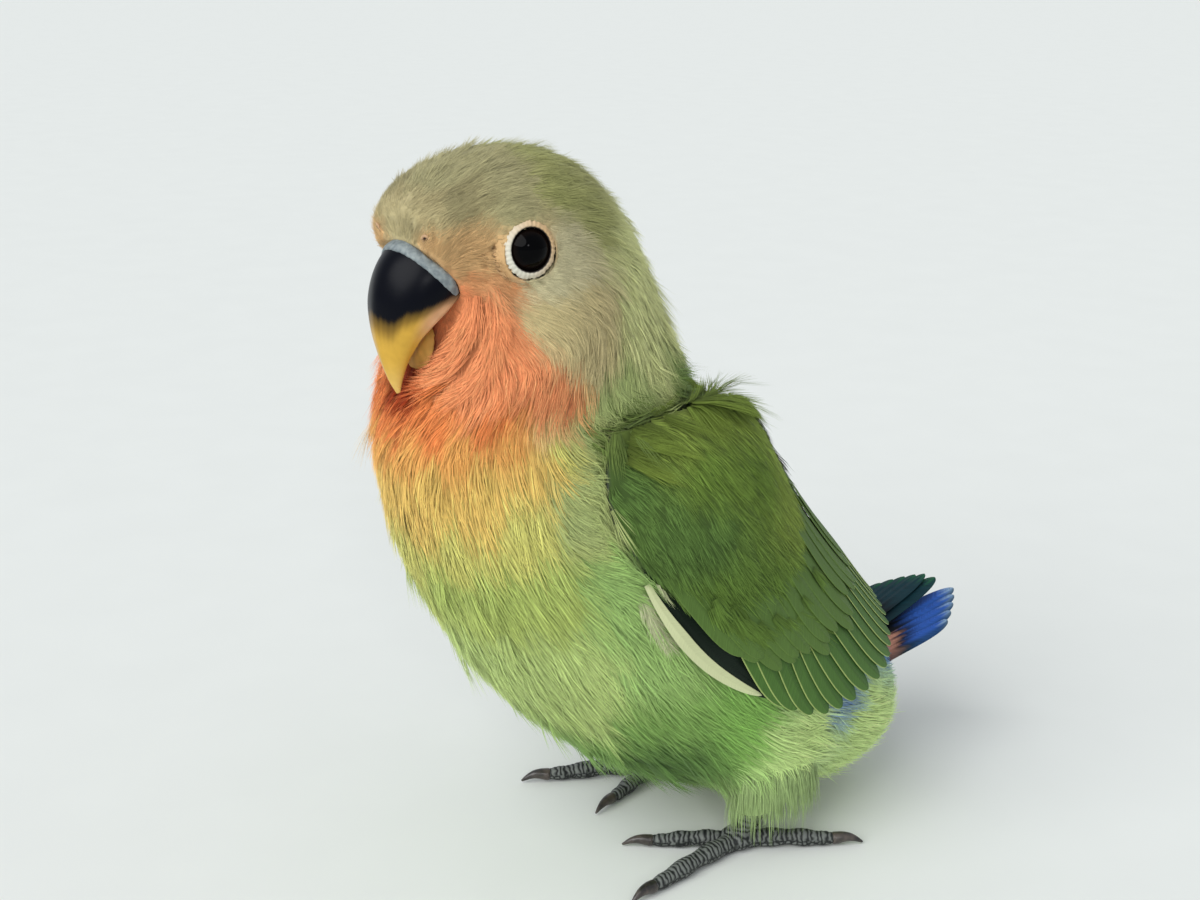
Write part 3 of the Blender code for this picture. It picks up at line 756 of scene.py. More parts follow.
def makeSurface(objects):
    points, faces, kinds = [], [], []
    start = 0
    for kind, made in enumerate(objects):
        points.append(pointsOf(made))
        faces.append(trianglesOf(made) + start)
        kinds.append(np.full(len(faces[-1]), kind))
        start += len(points[-1])
    points = np.concatenate(points)
    faces = np.concatenate(faces)
    corners = points[faces]
    middles = corners.mean(1)
    cross = np.cross(corners[:, 1] - corners[:, 0], corners[:, 2] - corners[:, 0])
    stations, degrees = placesOf(middles)
    return {
        "tree": BVHTree.FromPolygons(points.tolist(), faces.tolist()),
        "corners": corners,
        "middles": middles,
        "normals": unit(cross),
        "areas": np.linalg.norm(cross, axis=-1) / 2,
        "stations": stations,
        "degrees": degrees,
        "kinds": np.concatenate(kinds),
    }


surface = makeSurface([skin] + wingForms)
bodyPoints = bodyPoint(surface["stations"], surface["degrees"])
bodyNormals = bodyNormal(surface["stations"], surface["degrees"])
above = ((surface["middles"] - bodyPoints) * bodyNormals).sum(-1)
# the thighs are the low skin that stands out from the body's own form
thighForm = {"below": 17.0, "out": 0.6, "long": (6.2, 3.0), "lengthens": (12.0, 7.0), "clear": (0.8, 0.35)}
isThigh = (surface["kinds"] == 0) & (surface["middles"][:, 2] < thighForm["below"])
isThigh &= above > thighForm["out"]
laySettings = {
    # stations over which the lie becomes that of the head, and the body's share in it there
    "head": (10.6, 13.0),
    "headBack": 0.35,
    # distances over which an eye turns it aside, and how much of its inward run goes
    "eye": (8.0, 4.6),
    "eyeShare": 0.85,
    # beside the wing: its turn, the degrees from the edge, and the stations at both ends
    "wingTurn": 1.1,
    "wing": (24.0, 6.0),
    "wingRear": (6.2, 7.4),
    "wingFront": (10.2, 9.4),
    "thighBack": 0.25,
}


def layOf(surface):
    # the coat lies away from the bill on the head, and from head to tail behind it
    own = laySettings
    stations, degrees = surface["stations"], surface["degrees"]
    back = unit(bodyPoint(stations - 0.05, degrees) - bodyPoint(stations + 0.05, degrees))
    fromBill = unit(surface["middles"] - billRoot)
    share = smooth(*own["head"], stations)[:, None]
    lay = (1 - share) * back + share * (fromBill + own["headBack"] * back)
    for eye in eyes.values():
        toEye = eye["rim"] - surface["middles"]
        away = np.linalg.norm(toEye, axis=-1, keepdims=True)
        inward = (lay * toEye / away).sum(-1, keepdims=True).clip(0.0)
        lay = lay - own["eyeShare"] * smooth(*own["eye"], away) * inward * toEye / away
    # beside the wing it turns towards the wing
    around = unit(bodyPoint(stations, degrees - 1.0) - bodyPoint(stations, degrees + 1.0))
    around = around * np.sign(degrees)[:, None]
    beside = smooth(*own["wing"], np.abs(degrees) - wingEdge("low", stations))
    beside = beside * smooth(*own["wingRear"], stations) * smooth(*own["wingFront"], stations)
    lay = lay + (own["wingTurn"] * beside * (surface["kinds"] == 0))[:, None] * around
    lay = np.where(isThigh[:, None], own["thighBack"] * back + np.array((0.0, 0.0, -1.0)), lay)
    lay -= (lay * surface["normals"]).sum(-1, keepdims=True) * surface["normals"]
    return unit(lay)


surface["lay"] = layOf(surface)
print("stage: surface of", len(surface["areas"]), "faces")


def nearest(points):
    spots, faces = [], []
    for point in points:
        spot, _, face, _ = surface["tree"].find_nearest(Vector(point))
        spots.append(spot)
        faces.append(face)
    return np.array(spots), np.array(faces)


def scatter(mask, spacing):
    # many random points, then each kept point clears the space round it
    chosen = np.flatnonzero(mask)
    areas = surface["areas"][chosen]
    count = int(areas.sum() * 3.2 / spacing**2)
    picks = chosen[draws.choice(len(chosen), count, p=areas / areas.sum())]
    a, b = draws.random((2, count))
    fold = a + b > 1
    a, b = np.where(fold, 1 - a, a)[:, None], np.where(fold, 1 - b, b)[:, None]
    corners = surface["corners"][picks]
    points = corners[:, 0] * (1 - a - b) + corners[:, 1] * a + corners[:, 2] * b
    tree = KDTree(count)
    for index, point in enumerate(points):
        tree.insert(point, index)
    tree.balance()
    free = np.ones(count, bool)
    kept = []
    for index in range(count):
        if free[index]:
            kept.append(index)
            for _, near, _ in tree.find_range(points[index], spacing):
                free[near] = False
    return points[kept], picks[kept]


def waves(points, scale, seed):
    # slow changes over the body, of about -1 to 1
    turns = np.random.default_rng(seed).normal(size=(3, 5)) / scale
    starts = np.random.default_rng(seed + 1).random(5) * 6.28
    return np.sin(points @ turns + starts).mean(-1) * 1.6


def rotated(rows, normals, angles):
    side = np.cross(normals, rows)
    return rows * np.cos(angles)[:, None] + side * np.sin(angles)[:, None]


def walk(points, faces, lengths, steps, angles, free, drop):
    # paths that follow the lie of the coat; free ones bridge hollows and leave round edges
    path = [points]
    held = [faces]
    here = points
    before = None
    for _ in range(steps):
        normals = surface["normals"][faces]
        ahead = rotated(surface["lay"][faces], normals, angles)
        if drop:
            ahead = unit(ahead * (1 - drop) + drop * np.array((0.0, 0.0, -1.0)))
        if before is not None and free:
            ahead = unit(ahead * (1 - free) + before * free)
        goal = here + ahead * (lengths / steps)[:, None]
        spot, faces = nearest(goal + 0.7 * normals)
        away = goal - spot
        over = (away * surface["normals"][faces]).sum(-1, keepdims=True) > 0
        here = spot + np.where(over, free * away, 0.0)
        before = ahead
        path.append(here)
        held.append(faces)
    held = np.stack(held, 1)
    return np.stack(path, 1), surface["normals"][held], held


# What a tuft has where its own settings don't say otherwise
tuftDefaults = dict(
    clump=7.0, stray=9.0, sweep=0.0, free=0.0, drop=0.0, round=0.3, fan=0.9, wild=0.0, ends=0.3, ruffle=0.0,
    base=-0.12, curve=0.9, mess=0.03, cup=0.12, tuftShade=0.03, strandShade=0.12, rootShade=0.84,
    tipShade=1.1, bloom=0.4, paint="coat",
)
mostTriangles = 190000
bakePatch = 0.003


def strandPattern(rings):
    # triangles of one strand, which has three-cornered rings and a pointed tip
    pattern = []
    for ring in range(rings - 1):
        a, b, c = 3 * ring, 3 * ring + 1, 3 * ring + 2
        d, e, g = a + 3, b + 3, c + 3
        pattern += [(a, d, e), (a, e, b), (b, e, g), (b, g, c), (c, g, d), (c, d, a)]
    a, b, c = 3 * rings - 3, 3 * rings - 2, 3 * rings - 1
    pattern += [(a, 3 * rings, b), (b, 3 * rings, c), (c, 3 * rings, a), (0, 1, 2)]
    return np.array(pattern)


def tuftAngles(points, faces, own, slow):
    # how far each tuft turns from the lie of the coat
    outward = np.sign(surface["degrees"][faces])
    angles = np.radians(own["stray"]) * draws.normal(size=len(points)) + 0.12 * slow
    angles = angles + own["sweep"] * outward
    if "sweepRows" in own:
        angles = angles + np.interp(surface["stations"][faces], *zip(*own["sweepRows"])) * outward
    return angles


def growTufts(name, points, faces, lengths, own):
    # each tuft is a row of tapered strands along one path
    own = {**tuftDefaults, **own}
    slotName = own["slot"]
    count, strands, rings = len(points), own["strands"], own["rings"]
    slow = waves(points, own["clump"], own["seed"])
    angles = tuftAngles(points, faces, own, slow)
    lengths = lengths * (1 + 0.16 * draws.normal(size=count)).clip(0.6, 1.5)
    path, normals, held = walk(points, faces, lengths, rings, angles, own["free"], own["drop"])
    long = lengths[:, None, None]
    slow = slow[:, None, None]
    rows = np.arange(count)[:, None, None]

    across = np.linspace(-1, 1, strands)[None] + draws.normal(size=(count, strands)) * 0.14
    reach = (1 - own["round"] * across**2) * (1 + 0.1 * draws.normal(size=(count, strands)))
    reach = reach.clip(0.35, 1.12) * 0.9
    steps = np.linspace(0, 1, rings + 1)
    at = reach[..., None] * steps * rings
    low = np.minimum(at.astype(int), rings - 1)
    f = (at - low)[..., None]

    def along(values):
        return values[rows, low] * (1 - f) + values[rows, low + 1] * f

    up = unit(along(normals))
    side = unit(along(unit(np.cross(np.gradient(path, axis=1), normals))))
    wide = own["wide"] * long**0.5
    splay = 0.45 + (own["fan"] - 0.45) * steps
    across = across[..., None]
    offset = across * wide * splay + draws.normal(size=(count, strands, 1)) * wide * 0.12 * steps
    wild = (draws.random((count, 1, 1)) < own["wild"]) * draws.random((count, 1, 1)) * own["ends"]
    stand = wild + own["stand"] * (0.55 + 0.6 * draws.random((count, 1, 1)))
    stand = stand + own["ruffle"] * np.maximum(slow, 0)
    lift = own["base"] + long * stand * steps ** own["curve"]
    lift = lift + draws.normal(size=(count, strands, 1)) * own["mess"] * long * steps
    lift = lift - own["cup"] * across**2 * wide * 0.4
    spine = along(path) + side * offset[..., None] + up * lift[..., None]

    taper = (np.array((0.8, 1.0, 0.75, 0.5)) if rings > 2 else np.array((0.85, 1.0)))[:rings]
    thick = own["thick"] * taper * (1 + 0.15 * draws.normal(size=(count, strands, 1)))
    thick = thick[..., None]
    body = spine[:, :, :rings]
    half = side[:, :, :rings] * thick
    crest = body + up[:, :, :rings] * (thick * 0.7)
    corners = np.stack((body - half, body + half, crest), 3).reshape(count, strands, rings * 3, 3)
    shape = np.concatenate((corners, spine[:, :, rings:]), 2)

    middle = held[:, max(1, rings // 2)]
    tone = painters[own["paint"]](surface["stations"][middle], surface["degrees"][middle])
    tone = tone * (1 + own["tuftShade"] * draws.normal(size=(count, 1)))
    shade = 1 + own["strandShade"] * draws.normal(size=(count, strands))
    down = np.append(np.repeat(steps[:rings], 3), 1.0)
    # painted shade: darker towards the roots, where the tufts lie under one another, and painted light:
    # lighter at the tips
    rootTipShade = own["rootShade"] + (own["tipShade"] - own["rootShade"]) * down
    colours = tone[:, None, None, :] * shade[..., None, None] * rootTipShade[None, None, :, None]

    # the shading follows the round of each tuft, and near the eyes that of the head beneath
    facing = up + own["bloom"] * across[..., None] * side
    nearEye = 0.8 * smooth(5.2, 3.6, eyeDistance(points))[:, None, None, None]
    stations, degrees = surface["stations"][faces], surface["degrees"][faces]
    facing = facing * (1 - nearEye) + nearEye * bodyNormal(stations, degrees)[:, None, None]
    lean = 0.3 * side[:, :, :rings]
    ring = facing[:, :, :rings]
    ring = np.stack((ring - lean, ring + lean, ring), 3).reshape(count, strands, rings * 3, 3)
    facing = unit(np.concatenate((ring, facing[:, :, rings:]), 2))

    u, v = bakePlace(stations, degrees).T
    corner = np.append(np.tile((-1.0, 1.0, 0.0), rings), 0.0) / (3.5 * strands)
    u = u[:, None, None] + bakePatch * (np.linspace(-0.45, 0.45, strands)[None, :, None] + corner)
    v = v[:, None, None] + bakePatch * (down - 0.5)[None, None] + np.zeros((1, strands, 1))

    pattern = strandPattern(rings)
    total = count * strands * len(pattern)
    parts = max(1, math.ceil(total / mostTriangles))
    order = np.argsort(stations, kind="stable")
    for part in range(parts):
        chosen = order[part * count // parts : (part + 1) * count // parts]
        starts = np.arange(len(chosen) * strands)[:, None, None] * (rings * 3 + 1)
        title = name if parts == 1 else f"{name}_{part + 1}"
        piece = meshFrom(title, shape[chosen].reshape(-1, 3), (pattern[None] + starts).reshape(-1, 3))
        paintPoints(piece, colours[chosen].reshape(-1, 3).clip(0, 1))
        uvPoints(piece, np.stack((u[chosen].ravel(), v[chosen].ravel()), -1), "OFBake")
        piece.data.normals_split_custom_set_from_vertices(facing[chosen].reshape(-1, 3))
        piece.data.materials.append(wingMaterial if slotName == "wing_feather" else coatMaterial)
        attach(piece, "root")
    coatTotal.append(total)
    print(f"stage: {name}, {count} tufts, {total} triangles")


coatMaterial = featherMaterial("feather barbs")
wingMaterial = featherMaterial("wing feather barbs", 0.7, 0.02)
coatTotal = []


def plainTone(colour):
    tone = linear(colour)
    return lambda stations, degrees: np.repeat(tone[None], len(stations), 0)


painters = {
    "coat": markingsAt,
    "wing": wingPaint,
    "thigh": plainTone(coatColours["thigh"]),
    "ruffled": plainTone(wingColours["ruffled"]),
    "whiteEdge": plainTone(wingColours["whiteEdge"]),
}

# Coat of the body and head
coatRegions = {
    "face_feathers": dict(
        spacing=0.51, strands=15, rings=1, wide=0.42, thick=0.045, stand=0.14, fan=1.15, seed=3, base=0.0,
        slot="head_feather", stray=8.0, mess=0.04, strandShade=0.09, rootShade=0.93, tipShade=1.05,
    ),
    "eye_feathers": dict(
        spacing=0.44, strands=9, rings=1, wide=0.42, thick=0.042, stand=0.12, fan=1.15, seed=4, base=0.02,
        slot="head_feather", stray=12.0, mess=0.04, strandShade=0.12, rootShade=0.9, tipShade=1.06,
    ),
    "crown_feathers": dict(
        spacing=0.63, strands=18, rings=1, wide=0.52, thick=0.05, stand=0.12, fan=1.15, seed=5, base=0.0,
        slot="head_feather", stray=7.0, mess=0.05, rootShade=0.9, tipShade=1.07, wild=0.25, ends=0.32,
    ),
    "cheek_feathers": dict(
        spacing=0.765, strands=16, rings=2, wide=0.42, thick=0.045, stand=0.17, fan=0.85, seed=7,
        slot="throat_feather", stray=8.0, ruffle=0.06, mess=0.05, rootShade=0.85, strandShade=0.15, wild=0.1,
    ),
    "nape_feathers": dict(
        spacing=0.84, strands=13, rings=2, wide=0.45, thick=0.055, stand=0.16, fan=0.9, seed=9,
        slot="head_feather", stray=9.0, ruffle=0.07, mess=0.05, strandShade=0.15, wild=0.3, ends=0.24,
    ),
    "breast_feathers": dict(
        spacing=0.965, strands=14, rings=2, wide=0.5, thick=0.065, stand=0.12, fan=0.95, seed=11,
        slot="body_feather", stray=6.0, mess=0.035, rootShade=0.84, tipShade=1.07, strandShade=0.16,
        wild=0.06,
    ),
    "belly_feathers": dict(
        spacing=1.14, strands=13, rings=2, wide=0.52, thick=0.07, stand=0.11, fan=0.95, seed=13,
        slot="body_feather", stray=6.0, mess=0.035, rootShade=0.87, tipShade=1.07, strandShade=0.15,
        wild=0.06,
    ),
    "vent_feathers": dict(
        spacing=1.08, strands=13, rings=2, wide=0.45, thick=0.065, stand=0.2, fan=1.0, seed=15,
        slot="body_feather", stray=16.0, ruffle=0.08, mess=0.06,
    ),
    "back_feathers": dict(
        spacing=1.46, strands=11, rings=2, wide=0.5, thick=0.08, stand=0.14, fan=1.0, seed=17,
        slot="body_feather", stray=8.0,
    ),
    "thigh_feathers": dict(
        spacing=0.88, strands=16, rings=2, wide=0.75, thick=0.055, stand=0.16, fan=0.5, seed=19, round=0.5,
        slot="body_feather", stray=9.0, free=0.96, drop=0.85, mess=0.04, strandShade=0.15, paint="thigh",
    ),
}
# how far from the eye's rim and from a place in the bill the skin is bare
bareSkin = {"eye": 2.85, "bill": 4.2, "billPlace": (13.0, 0.0, -4.0)}
wingMargin = 5.0


def regionMasks():
    s = surface["stations"]
    t = np.abs(surface["degrees"])
    p = surface["middles"]
    toEye = eyeDistance(p)
    bare = np.linalg.norm(p - inHead(*bareSkin["billPlace"]), axis=-1) < bareSkin["bill"]
    bare |= toEye < bareSkin["eye"]
    # no coat under the wing or under its pale edge
    underWing = (s > 2.6) & (s < 8.9) & (t < wingEdge("low", s) - wingMargin)
    paleEdge = np.interp(s, (4.2, 5.25, 6.55, 7.0), (93.0, 99.0, 95.5, 90.0))
    underWing |= (s > 4.2) & (s < 7.0) & (t < paleEdge)
    underWing &= t > wingEdge("high", s) + wingMargin
    body = (surface["kinds"] == 0) & ~isThigh & ~bare & ~underWing
    near = np.linalg.norm(p - billRoot, axis=-1)
    face = (s > 12.9) & (t > 84) | (near < 12) & (s > 12.0)
    crown = ~face & (s > 12.4)
    cheek = ~face & ~crown & (s > 10.2) & (t > 74)
    nape = ~face & ~crown & ~cheek & (s > 9.3) & (t <= 80)
    breast = ~face & ~crown & ~cheek & ~nape & (s > 6.4) & (t > 74)
    belly = (s <= 6.4) & (s > 3.2) & (t > 84)
    vent = (s <= 3.2) & (t > 92)
    back = ~(face | crown | cheek | nape | breast | belly | vent)
    masks = dict(
        face=face, crown=crown, cheek=cheek, nape=nape, breast=breast, belly=belly, vent=vent, back=back,
        eye=toEye < 5.4,
    )
    masks = {name + "_feathers": mask & body for name, mask in masks.items()}
    masks["thigh_feathers"] = isThigh & (p[:, 2] > 4.2) & (surface["normals"][:, 2] > -0.45)
    return masks


def thighLength(points):
    # longer lower down, and short enough to end near the floor
    own = thighForm
    high = points[:, 2]
    long = own["long"][0] + own["long"][1] * smooth(*own["lengthens"], high)
    return np.minimum(long, own["clear"][0] * high - own["clear"][1])


def growCoat():
    for name, mask in regionMasks().items():
        own = coatRegions[name]
        spacing = own["spacing"] * 1.0
        points, faces = scatter(mask, spacing)
        lengths = coatLength(points, surface["stations"][faces])
        if name == "thigh_feathers":
            lengths = thighLength(points)
        growTufts(name, points, faces, lengths, own)


growCoat()

# Wing coverts
covertSettings = dict(
    spacing=0.96, strands=14, rings=2, wide=0.52, thick=0.06, stand=0.07, fan=1.0, seed=23, base=-0.05,
    stray=4.0, mess=0.016, rootShade=0.55, tipShade=1.14, tuftShade=0.07, strandShade=0.2, bloom=0.55,
    sweepRows=((7.6, 0.0), (8.4, 0.35), (9.1, 0.95)), paint="wing", slot="wing_feather",
)


def growCoverts():
    s = surface["stations"]
    outward = (surface["normals"] * bodyNormals).sum(-1) > 0.1
    for kind, (side, _) in enumerate(bothSides, 1):
        mask = (surface["kinds"] == kind) & outward & (above > 0.0) & (s > 2.9)
        points, faces = scatter(mask, covertSettings["spacing"])
        lengths = np.interp(s[faces], (3.0, 5.0, 9.0), (6.4, 5.2, 3.8))
        growTufts(side + "_covert_feathers", points, faces, lengths, covertSettings)


growCoverts()

# Rows that cross an edge: breast over wing, nape over shoulder, back over wing. Each runs
# through its places, with count tufts that stray from it by the spread.
fringeRows = {
    "wing_front_feathers": dict(
        places=((8.9, 99), (8.5, 103), (8.0, 106), (7.4, 108), (6.8, 107)), count=190, long=4.8, spread=0.22,
        sweep=0.1, strands=11, rings=3, wide=0.4, thick=0.045, stand=0.1, base=0.4, fan=0.95, seed=31,
        stray=10.0, mess=0.05, free=0.8, slot="body_feather", strandShade=0.2, rootShade=0.7,
    ),
    "shoulder_feathers": dict(
        places=((9.75, 24), (9.9, 45), (9.9, 62), (9.8, 76), (9.6, 88)), count=170, long=6.4, spread=0.2,
        strands=13, rings=3, wide=0.42, thick=0.045, stand=0.1, base=0.4, fan=0.95, seed=35, stray=8.0,
        mess=0.04, free=0.75, slot="head_feather",
    ),
    "scapular_feathers": dict(
        places=((8.7, 52), (8.2, 38), (7.5, 25), (6.5, 12), (5.4, 9), (4.6, 9)), count=115, long=6.4,
        spread=0.12, sweep=-0.2, strands=14, rings=3, wide=0.5, thick=0.065, stand=0.05, base=0.3, fan=0.9,
        seed=37, stray=7.0, free=0.5, paint="ruffled", slot="wing_feather", rootShade=0.8,
    ),
    "ruffled_feathers": dict(
        places=((8.8, 38), (8.85, 47), (8.95, 56)), count=11, long=13.5, spread=0.05, sweep=0.26,
        strands=34, rings=3, wide=0.4, thick=0.05, stand=0.2, base=0.7, fan=0.7, seed=39, stray=6.0,
        round=0.6, curve=1.8, mess=0.01, free=0.5, paint="ruffled", slot="wing_feather", rootShade=0.6,
        tipShade=1.25, bloom=0.9,
    ),
    "lock_feathers": dict(
        places=((9.3, 64), (9.2, 72), (9.0, 80), (8.6, 85)), count=13, long=9.0, spread=0.05, sweep=0.6,
        strands=30, rings=3, wide=0.4, thick=0.05, stand=0.09, base=0.6, fan=0.75, seed=47, stray=9.0,
        round=0.6, curve=1.5, mess=0.012, free=0.5, paint="ruffled", slot="wing_feather", rootShade=0.4,
        tipShade=1.15, bloom=0.9,
    ),
    "lower_covert_feathers": dict(
        places=((5.6, 88.5), (4.95, 85), (4.45, 79), (3.95, 70), (3.6, 58), (3.4, 45), (3.4, 32)),
        count=230, long=5.6, spread=0.22, strands=14, rings=2, wide=0.52, thick=0.06, stand=0.05,
        base=0.75, fan=1.0, seed=53, stray=4.0, mess=0.01, free=0.2, paint="wing", slot="wing_feather",
        rootShade=0.62, tipShade=1.12, tuftShade=0.05, strandShade=0.14, bloom=0.55,
    ),
    "gape_feathers": dict(
        places=((13.6, 147), (13.1, 152), (12.6, 156), (12.1, 160), (11.6, 163)), count=110, long=5.6,
        spread=0.13, sweep=-1.3, strands=12, rings=2, wide=0.4, thick=0.042, stand=0.2, base=0.5,
        fan=0.95, seed=45, stray=10.0, mess=0.05, free=0.7, slot="throat_feather", tipShade=1.14,
    ),
    "cheek_front_feathers": dict(
        places=((13.5, 138), (13.0, 142), (12.5, 145), (12.0, 149), (11.4, 152)), count=110, long=5.2,
        spread=0.16, sweep=-0.65, strands=12, rings=2, wide=0.4, thick=0.042, stand=0.16, base=0.2, fan=0.95,
        seed=61, stray=12.0, mess=0.05, free=0.5, slot="throat_feather", tipShade=1.12,
    ),
    "brow_feathers": dict(
        places=((16.5, 146), (16.1, 150), (15.7, 155), (15.3, 160)), count=40, long=2.6, spread=0.1,
        strands=12, rings=1, wide=0.42, thick=0.045, stand=0.2, base=0.0, fan=1.15, seed=63, stray=12.0,
        mess=0.06, slot="head_feather", rootShade=0.93, tipShade=1.05,
    ),
    "wing_edge_down": dict(
        places=((6.5, 100), (6.1, 102), (5.7, 103.5)), count=30, long=3.8, spread=0.07, sweep=-0.3,
        strands=13, rings=2, wide=0.36, thick=0.05, stand=0.1, base=0.5, fan=0.95, seed=59, stray=9.0,
        mess=0.04, free=0.6, paint="whiteEdge", slot="wing_feather", rootShade=0.8,
    ),
}


def growFringes():
    for name, own in fringeRows.items():
        count = own["count"]
        for side, sign in bothSides:
            places = alongRow(np.array(own["places"], float), np.sort(draws.random(count)))
            places[:, 0] += own["spread"] * draws.normal(size=count)
            places[:, 1] += 10 * own["spread"] * draws.normal(size=count)
            points, faces = nearest(onBody(places[:, 0], sign * places[:, 1], np.ones(count)))
            growTufts(f"{side}_{name}", points, faces, np.full(count, own["long"]), own)


growFringes()

# Flight feathers
vaneSteps = np.array((-1.0, -0.95, -0.88, -0.55, -0.2, -0.045, 0.045, 0.2, 0.55, 0.88, 0.95, 1.0))
vaneThick = 0.16


def roundTip(s, start):
    return np.sqrt(1 - ((s - start) / (1 - start)).clip(0, 1) ** 2.2)


def bladePoints(blade):
    # rings across the vane, over its top and back along its underside, with a shaft in the middle
    centres, widths = blade["centres"], blade["widths"]
    side = unit(np.cross(np.gradient(centres, axis=0), blade["normals"]))
    c = vaneSteps[None, :, None]
    w = widths[:, None, None]
    n = blade["normals"][:, None]
    sag = blade["droop"] * w * c**2 + blade["roll"] * c * np.minimum(w, 2.0)
    mid = centres[:, None] + c * w * side[:, None] - sag * n
    half = 0.5 * vaneThick * np.sqrt(np.maximum(1 - 0.85 * c**2, 0.05))
    shaft = 0.5 * vaneThick * np.exp(-((c / 0.07) ** 2)) * np.minimum(1.0, w)
    top = mid + (half + shaft) * n
    low = mid - half * n
    return np.concatenate((top, low[:, ::-1]), 1).reshape(-1, 3)


def makeVanes(name, blades, vaneLook):
    points, faces, colours, barbs, bake = [], [], [], [], []
    grid = math.ceil(math.sqrt(len(blades)))
    columns = len(vaneSteps)
    c = np.concatenate((vaneSteps, vaneSteps[::-1]))
    under = np.concatenate((np.zeros(columns), np.ones(columns)))
    start = 0
    for number, blade in enumerate(blades):
        points.append(bladePoints(blade))
        faces += ringFaces(len(blade["centres"]), 2 * columns, start)
        start += len(points[-1])
        lengths = np.linalg.norm(np.diff(blade["centres"], axis=0), axis=1)
        run = np.concatenate(((0.0,), np.cumsum(lengths)))
        cc, ss = np.meshgrid(c, run / run[-1])
        uu = np.meshgrid(under, run)[0]
        colours.append(blade["paint"](ss.ravel(), cc.ravel() * blade["outer"]))
        x = np.abs(cc) * blade["widths"][:, None]
        y = np.repeat(run[:, None], 2 * columns, 1) + 7.0 * number
        barbs.append(np.stack((x.ravel() + 3.0 * number, y.ravel()), -1))
        cell = np.array((number % grid, number // grid))
        inner = np.stack(((0.25 + 0.22 * cc + 0.5 * uu).ravel(), 0.04 + 0.92 * ss.ravel()), -1)
        bake.append((cell + inner) / grid)
    made = meshFrom(name, np.concatenate(points), np.array(faces))
    paintPoints(made, np.concatenate(colours).clip(0, 1))
    uvPoints(made, np.concatenate(barbs), "barbs")
    uvPoints(made, np.concatenate(bake), "OFBake")
    cleaned(made, 0.0)
    made.data.materials.append(vaneLook)
    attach(made, "root")
    print(f"stage: {name}, {len(blades)} blades")
    return made


def heightsAt(places):
    # how far the skin or the wing form rises over the body's own form, felt for from outside
    outside = 9.0
    starts = onBody(places[:, 0], places[:, 1], np.full(len(places), outside))
    ways = -bodyNormal(places[:, 0], places[:, 1])
    heights = []
    for start, way in zip(starts, ways):
        away = surface["tree"].ray_cast(Vector(start), Vector(way), outside + 5.0)[3]
        heights.append(outside - away if away is not None else 0.0)
    return np.array(heights)


def bodyBlade(
    places, lifts, wide, paint, sign, roll=0.1, rows=20, over=None, point=0.8, least=0.0
):
    # a vane along a bend through root, middle and tip; with over it clears what lies beneath it
    f = np.sin(0.5 * math.pi * np.linspace(0, 1, rows))[:, None]
    root, middle, tip = (np.asarray(place) for place in places)
    place = (1 - f) ** 2 * root + 2 * f * (1 - f) * middle + f**2 * tip
    s = f[:, 0]
    lift = np.interp(s, np.linspace(0, 1, len(lifts)), lifts)
    if over is not None:
        run = np.linalg.norm(bodyPoint(place[:, 0], place[:, 1]) - bodyPoint(*place[0]), axis=-1)
        heights = heightsAt(place)[None] - 0.2 * np.abs(run[:, None] - run[None])
        lift = np.maximum(heights.max(1), least) + over + lift
    mirror = np.array((sign, 1.0, 1.0))
    return dict(
        centres=onBody(place[:, 0], place[:, 1], lift) * mirror,
        normals=bodyNormal(place[:, 0], place[:, 1]) * mirror,
        widths=wide * np.maximum(np.minimum(1.0, 0.45 + 1.6 * s) * roundTip(s, point), 0.03),
        roll=roll * sign, droop=0.04, paint=paint, outer=sign,
    )


def edged(base, edge, dark, share=0.9, shaft=0.7):
    # the vane's colour, that of its outer rim and that of its inner half
    base, edge, dark = (linear(wingColours[name]) for name in (base, edge, dark))

    def paint(s, c):
        inner = smooth(0.2, -0.9, c)[:, None]
        tone = base * (1 - inner) + dark * inner
        rim = smooth(share, share + 0.05, c)[:, None]
        tone = tone * (1 - rim) + edge * rim
        line = np.exp(-((c / 0.06) ** 2))[:, None]
        return tone * (1 - (1 - shaft) * line) * (0.85 + 0.2 * s[:, None])

    return paint


flightSettings = {
    "primaryRoots": np.array(((6.8, 94.2), (6.4, 91.0), (6.2, 88.0), (6.0, 84.0))),
    "primaryMids": np.array(((4.9, 97.2), (4.2, 92.0), (3.9, 86.0), (3.6, 79.0))),
    "primaryTips": np.array(((3.95, 93.5), (3.3, 90.0), (2.9, 82.0), (2.6, 72.0))),
    "primaryCount": 6,
    "primaryWide": 1.5,
    "secondaryMids": np.array((
        (4.8, 88.0), (4.1, 81.0), (3.6, 73.0), (3.05, 60.0), (2.8, 46.0), (2.7, 34.0), (2.9, 25.0),
    )),
    "secondaryTips": np.array((
        (3.92, 95.0), (3.3, 93.5), (2.72, 84.0), (2.12, 69.0), (1.8, 54.0), (1.6, 38.0), (1.7, 27.0),
    )),
    "secondaryCount": 17,
    "secondaryWide": 1.75,
    "bandPlaces": ((6.55, 97.4), (5.25, 102.0), (4.25, 96.4)),
    "bandWide": 0.95,
    "covertTips": np.array(((4.95, 90.5), (4.3, 85.5), (3.8, 77.0), (3.3, 64.0), (3.0, 48.0), (2.9, 34.0))),
    "covertCount": 17,
    "covertLong": 1.9,
    "covertTurn": 11.0,
    "covertWide": 1.6,
    # the least height of secondaries and coverts over the body's own form
    "least": 1.9,
}


